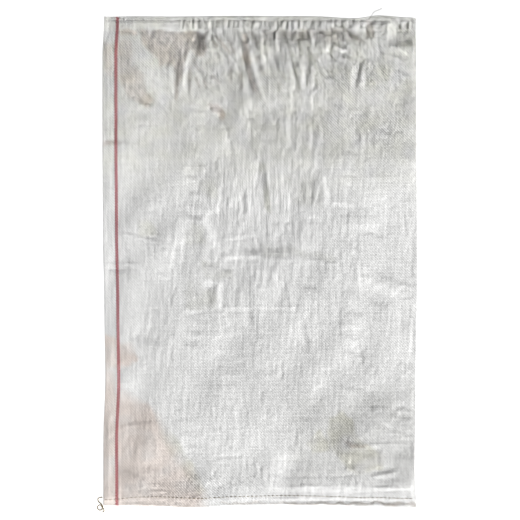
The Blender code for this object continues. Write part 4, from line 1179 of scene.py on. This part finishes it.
bm = bmesh.new()
bm.from_mesh(bottom_hem.data)
bmesh.ops.remove_doubles(bm, verts=bm.verts, dist=1e-5)
bmesh.ops.recalc_face_normals(bm, faces=bm.faces)
bm.to_mesh(bottom_hem.data)
bm.free()
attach(bottom_hem, "root")
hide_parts("woven_tube")

# Marker tapes: two red warp tapes side by side, woven through the front from the lip to the bottom. Each
# goes over one weft tape and under the next, the second a step behind the first.
MARKER_WIDTH = 0.0029
MARKER_SPACING = 0.0029
MARKER_SWING = 0.00042
MARKER_LIFT = 0.00016  # so that their floats are longer than the gaps between them
red_tape, wire, shader = finish("red_tape", 0.36)
place = wire.node("ShaderNodeTexCoord", {}, {}, "Object")
grain = wire.node("ShaderNodeTexNoise", {}, {"Vector": place, "Scale": 900.0, "Detail": 2.0}, "Fac")
fade = wire.node("ShaderNodeTexNoise", {}, {"Vector": place, "Scale": 26.0, "Detail": 2.0}, "Fac")
deep = grain.blend((0.24, 0.004, 0.018, 1), (0.42, 0.012, 0.045, 1))
worn = wire.maths("SMOOTH_MAX", fade * 1.6 - 0.95, 0.0, 0.05)
connect(worn.blend(deep, (0.55, 0.20, 0.24, 1)), shader, "Base Color")
connect(0.30 + grain * 0.2, shader, "Roughness")
bump = wire.node("ShaderNodeBump", {}, {"Strength": 0.6, "Distance": 0.0003, "Height": grain}, "Normal")
connect(bump, shader, "Normal")

surface = BVHTree.FromPolygons(
    [v.co.copy() for v in front_panel.data.vertices], [tuple(p.vertices) for p in front_panel.data.polygons]
)
underside = BVHTree.FromPolygons(
    [v.co.copy() for v in back_panel.data.vertices], [tuple(p.vertices) for p in back_panel.data.polygons]
)


def top_of_cloth(x, y, otherwise=0.004):
    """The height of the front panel under a point."""
    hit = surface.ray_cast(Vector((x, y, 0.1)), Vector((0, 0, -1)))[0]
    return hit.z if hit else otherwise


def below_cloth(x, y, otherwise=0.0012):
    """The height of the back panel over a point."""
    hit = underside.ray_cast(Vector((x, y, -0.1)), Vector((0, 0, 1)))[0]
    return hit.z if hit else otherwise


for side, step in (("left", 0), ("right", 1)):
    middle_u = (MARKER_X + (step - 0.5) * MARKER_SPACING) / half_width
    cross = np.array([-0.5, -0.32, 0.32, 0.5])
    places = np.arange(-HALF + 0.0012, HALF - 0.0004, TAPE / 4)
    points = np.zeros((len(places), len(cross), 3))
    for i, y in enumerate(places):
        swing = MARKER_SWING * math.sin(math.pi * (y / TAPE + step)) + MARKER_LIFT
        for j, part in enumerate(cross):
            x, place_y = cloth_place(middle_u + part * MARKER_WIDTH / half_width, y)
            points[i, j] = x, place_y, top_of_cloth(x, place_y) + swing - 0.00012 * (abs(part) > 0.4)
    tape, row, column = skin(
        "woven_marker_" + side, len(cross), len(places), points, cross * MARKER_WIDTH, places, red_tape
    )
    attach(tape, "root")
    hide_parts("marker_tape_" + side)

# Mouth stitches: one row of off-white spun thread, 8 mm below the lip, about five stitches to the inch,
# which holds the hem down all round. Each stitch dives into its needle holes at both ends.
MOUTH_PITCH = 0.0054
MOUTH_THREAD = 0.00062
MOUTH_ROW = [
    (-0.288, 0.0), (-0.140, -0.0015), (-0.110, -0.0025), (-0.040, -0.0025), (0.020, -0.0010),
    (0.192, -0.0010), (0.206, 0.0036), (0.225, 0.0034), (0.283, 0.0), (0.290, 0.0),
]  # how far the row of stitches strays from straight, up the sack


def spun_thread(name, light, dark, roughness):
    """Spun thread, twisted and fuzzy, in the shades between dark and light."""
    made, wire, shader = finish(name, roughness, 0.3)
    place = wire.node("ShaderNodeTexCoord", {}, {}, "Object")
    fibre = wire.node("ShaderNodeTexNoise", {}, {"Vector": place, "Scale": 1400.0, "Detail": 3.0}, "Fac")
    lengths = wire.node("ShaderNodeTexNoise", {}, {"Vector": place, "Scale": 160.0, "Detail": 2.0}, "Fac")
    much = fibre * 0.5 + lengths * 0.5
    ramp = wire.node("ShaderNodeValToRGB", {"stops": [(0.35, (*dark, 1)), (0.65, (*light, 1))]}, {0: much}, 0)
    connect(ramp, shader, "Base Color")
    connect(0.6 + fibre * 0.3, shader, "Roughness")
    bump = wire.node("ShaderNodeBump", {}, {"Strength": 0.8, "Distance": 0.0002, "Height": fibre}, "Normal")
    connect(bump, shader, "Normal")
    return made


def strands(name, routes, diameter, paint, sides=1):
    """Round strands along their routes, bevelled from one curve and kept as a mesh."""
    curve = bpy.data.curves.new(name + "_routes", "CURVE")
    curve.dimensions = "3D"
    curve.bevel_depth = diameter / 2
    curve.bevel_resolution = sides
    curve.use_fill_caps = True
    for route in routes:
        spline = curve.splines.new("POLY")
        spline.points.add(len(route) - 1)
        for point, place in zip(spline.points, route):
            point.co = (*place, 1)
    holder = link(name + "_routes", curve)
    bpy.context.view_layer.update()
    mesh = bpy.data.meshes.new_from_object(holder.evaluated_get(bpy.context.evaluated_depsgraph_get()))
    bpy.data.objects.remove(holder)
    bpy.data.curves.remove(curve)
    mesh.name = name
    mesh.materials.clear()
    mesh.materials.append(paint)
    mesh.shade_smooth()
    return link(name, mesh)


# The hem thread's colours are greyer than its off-white, painting the shade of the groove it lies in.
white_thread = spun_thread("hem_thread", (0.56, 0.55, 0.52), (0.26, 0.25, 0.23), 0.75)
brown_thread = spun_thread("seam_thread", (0.33, 0.26, 0.145), (0.10, 0.07, 0.032), 0.75)
draw = np.random.default_rng(61)
routes = []
for i in range(int(0.574 / MOUTH_PITCH)):
    start = -0.287 + MOUTH_PITCH * (i + 0.08 * draw.random())
    long = MOUTH_PITCH * draw.uniform(0.70, 0.84)
    drift = float(along(MOUTH_ROW, start)) + 0.0003 * (draw.random() - 0.5)
    route = []
    for share in np.linspace(0, 1, 6):
        u = (start + long * share) / 0.288
        x, y = cloth_place(u, MOUTH_STITCH_Y + drift)
        sink = 0.0006 * (2 * share - 1) ** 4 * 1.6
        route.append((x, y, top_of_cloth(x, y) + 0.00022 - sink))
    routes.append(route)
for i in range(int(0.570 / MOUTH_PITCH)):
    start = -0.285 + MOUTH_PITCH * i
    route = []
    for share in np.linspace(0, 1, 5):
        x, y = cloth_place((start + 0.76 * MOUTH_PITCH * share) / 0.288, MOUTH_STITCH_Y)
        sink = 0.0006 * (2 * share - 1) ** 4 * 1.6
        route.append((x, y, below_cloth(x, y) - 0.00022 + sink))
    routes.append(route)
mouth_stitches = strands("mouth_stitches", routes, MOUTH_THREAD, white_thread)
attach(mouth_stitches, "root")
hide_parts("mouth_hem_thread")

# Mouth thread's loose end: two plies of the hem's thread, left uncut where the row ends. It comes out of
# the stitches, hangs over the lip and lies on the table.
MOUTH_TAIL_ROUTE = [
    (0.1985, 0.4437, 0.0114), (0.2018, 0.4480, 0.0115), (0.2040, 0.4513, 0.0112),
    (0.2050, 0.4532, 0.0092), (0.2056, 0.4540, 0.0062), (0.2064, 0.4550, 0.0034),
    (0.2076, 0.4572, 0.0012), (0.2095, 0.4598, 0.0005), (0.2124, 0.4617, 0.0005),
    (0.2170, 0.4633, 0.0005), (0.2215, 0.4653, 0.0005), (0.2262, 0.4686, 0.0005),
]


def smooth_route(points, step):
    """Points about a step apart on the smooth curve (Catmull-Rom) through a route's own points."""
    ends = [points[0], *points, points[-1]]
    made = []
    for before, start, end, after in zip(ends, ends[1:], ends[2:], ends[3:]):
        pieces = max(1, round(math.dist(start, end) / step))
        for i in range(pieces):
            t = i / pieces
            made.append(tuple(
                0.5 * (2 * s + (e - b) * t + (2 * b - 5 * s + 4 * e - a) * t**2 + (3 * s - b - 3 * e + a) * t**3)
                for b, s, e, a in zip(before, start, end, after)
            ))
    return [*made, points[-1]]


def beside(route, offsets):
    """A route shifted by offsets (right, up) in its own frame, one pair for each of its points."""
    spots = np.array(route)
    ways = np.gradient(spots, axis=0)
    ways /= np.linalg.norm(ways, axis=1)[:, None]
    right = np.cross(ways, [0, 0, 1.0])
    size = np.linalg.norm(right, axis=1)
    right[size < 0.15] = (1, 0, 0)
    right /= np.linalg.norm(right, axis=1)[:, None]
    up = np.cross(right, ways)
    return spots + right * offsets[:, :1] + up * offsets[:, 1:]


def route_length(route):
    return float(np.linalg.norm(np.diff(np.array(route), axis=0), axis=1).sum())


path = smooth_route(MOUTH_TAIL_ROUTE, 0.0005)
gone = np.linspace(0, route_length(path), len(path))
plies = []
for ply in range(2):
    angle = 2 * math.pi * gone / 0.0030 + math.pi * ply
    offsets = 0.00028 * np.stack([np.cos(angle), np.sin(angle)], axis=1)
    plies.append(beside(path, offsets))
mouth_tail = strands("mouth_thread_end", plies, 0.00060, white_thread)
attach(mouth_tail, "root")
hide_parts("mouth_thread_tail")

# Bottom stitches: olive-brown thread through all four layers, longer stitches than the mouth's. The front
# shows a plain row of dashes, and the back the chain of loops that a bag closer makes.
BOTTOM_PITCH = 0.0077
BOTTOM_THREAD = 0.00085


def bottom_row(x):
    """The seam's own place along the sack, which falls away towards its left end."""
    return BOTTOM_STITCH_Y - 0.0050 * float(ease((-0.215 - x) / 0.070)) + 0.0005 * math.sin(31 * x)


routes = []
for i in range(int(0.570 / BOTTOM_PITCH)):
    start = -0.2865 + BOTTOM_PITCH * i
    long = BOTTOM_PITCH * draw.uniform(0.66, 0.78)
    route = []
    for share in np.linspace(0, 1, 6):
        nominal = start + long * share
        x, y = cloth_place(nominal / 0.288, bottom_row(nominal))
        sink = 0.0010 * (2 * share - 1) ** 4
        route.append((x, y, top_of_cloth(x, y) + 0.00028 - sink))
    routes.append(route)
for i in range(int(0.570 / BOTTOM_PITCH)):
    start = -0.2865 + BOTTOM_PITCH * i
    for way in (-1, 1):
        route = []
        for share in np.linspace(0, 1, 6):
            nominal = start + BOTTOM_PITCH * 1.1 * share
            x, y = cloth_place(nominal / 0.288, bottom_row(nominal))
            wide = way * 0.0009 * math.sin(math.pi * min(1.0, 1.15 * share))
            route.append((x, y + wide, 0.0006 + 0.0004 * share))
        routes.append(route)
bottom_stitches = strands("bottom_stitches", routes, BOTTOM_THREAD, brown_thread)
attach(bottom_stitches, "root")
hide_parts("bottom_seam_thread")

# Bottom thread's loose end: the chain of loops that the bag closer goes on making past the cloth. It is
# the same thread, looped through itself, and lies crumpled at the corner.
CHAIN_ROUTE = [
    (-0.2901, -0.4325, 0.0038), (-0.2940, -0.4328, 0.0024), (-0.2975, -0.4352, 0.0012),
    (-0.2978, -0.4390, 0.0011), (-0.2948, -0.4425, 0.0011), (-0.2915, -0.4455, 0.0012),
    (-0.2893, -0.4500, 0.0012), (-0.2905, -0.4546, 0.0012), (-0.2945, -0.4566, 0.0012),
    (-0.2982, -0.4545, 0.0013), (-0.2988, -0.4502, 0.0020), (-0.2960, -0.4470, 0.0031),
    (-0.2925, -0.4470, 0.0038), (-0.2905, -0.4500, 0.0036), (-0.2875, -0.4535, 0.0026),
    (-0.2868, -0.4580, 0.0014), (-0.2895, -0.4608, 0.0012),
]
path = smooth_route(CHAIN_ROUTE, 0.0005)
gone = np.linspace(0, route_length(path), len(path))
loops = []
for strand in range(3):
    angle = 2 * math.pi * (gone / 0.0052 + strand / 3)
    offsets = np.stack([0.00052 * np.sin(angle), 0.00034 * np.sin(2 * angle)], axis=1)
    loops.append(beside(path, offsets))
chain_end = strands("bottom_chain_end", loops, 0.00115, brown_thread)
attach(chain_end, "root")
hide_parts("bottom_chain_tail")
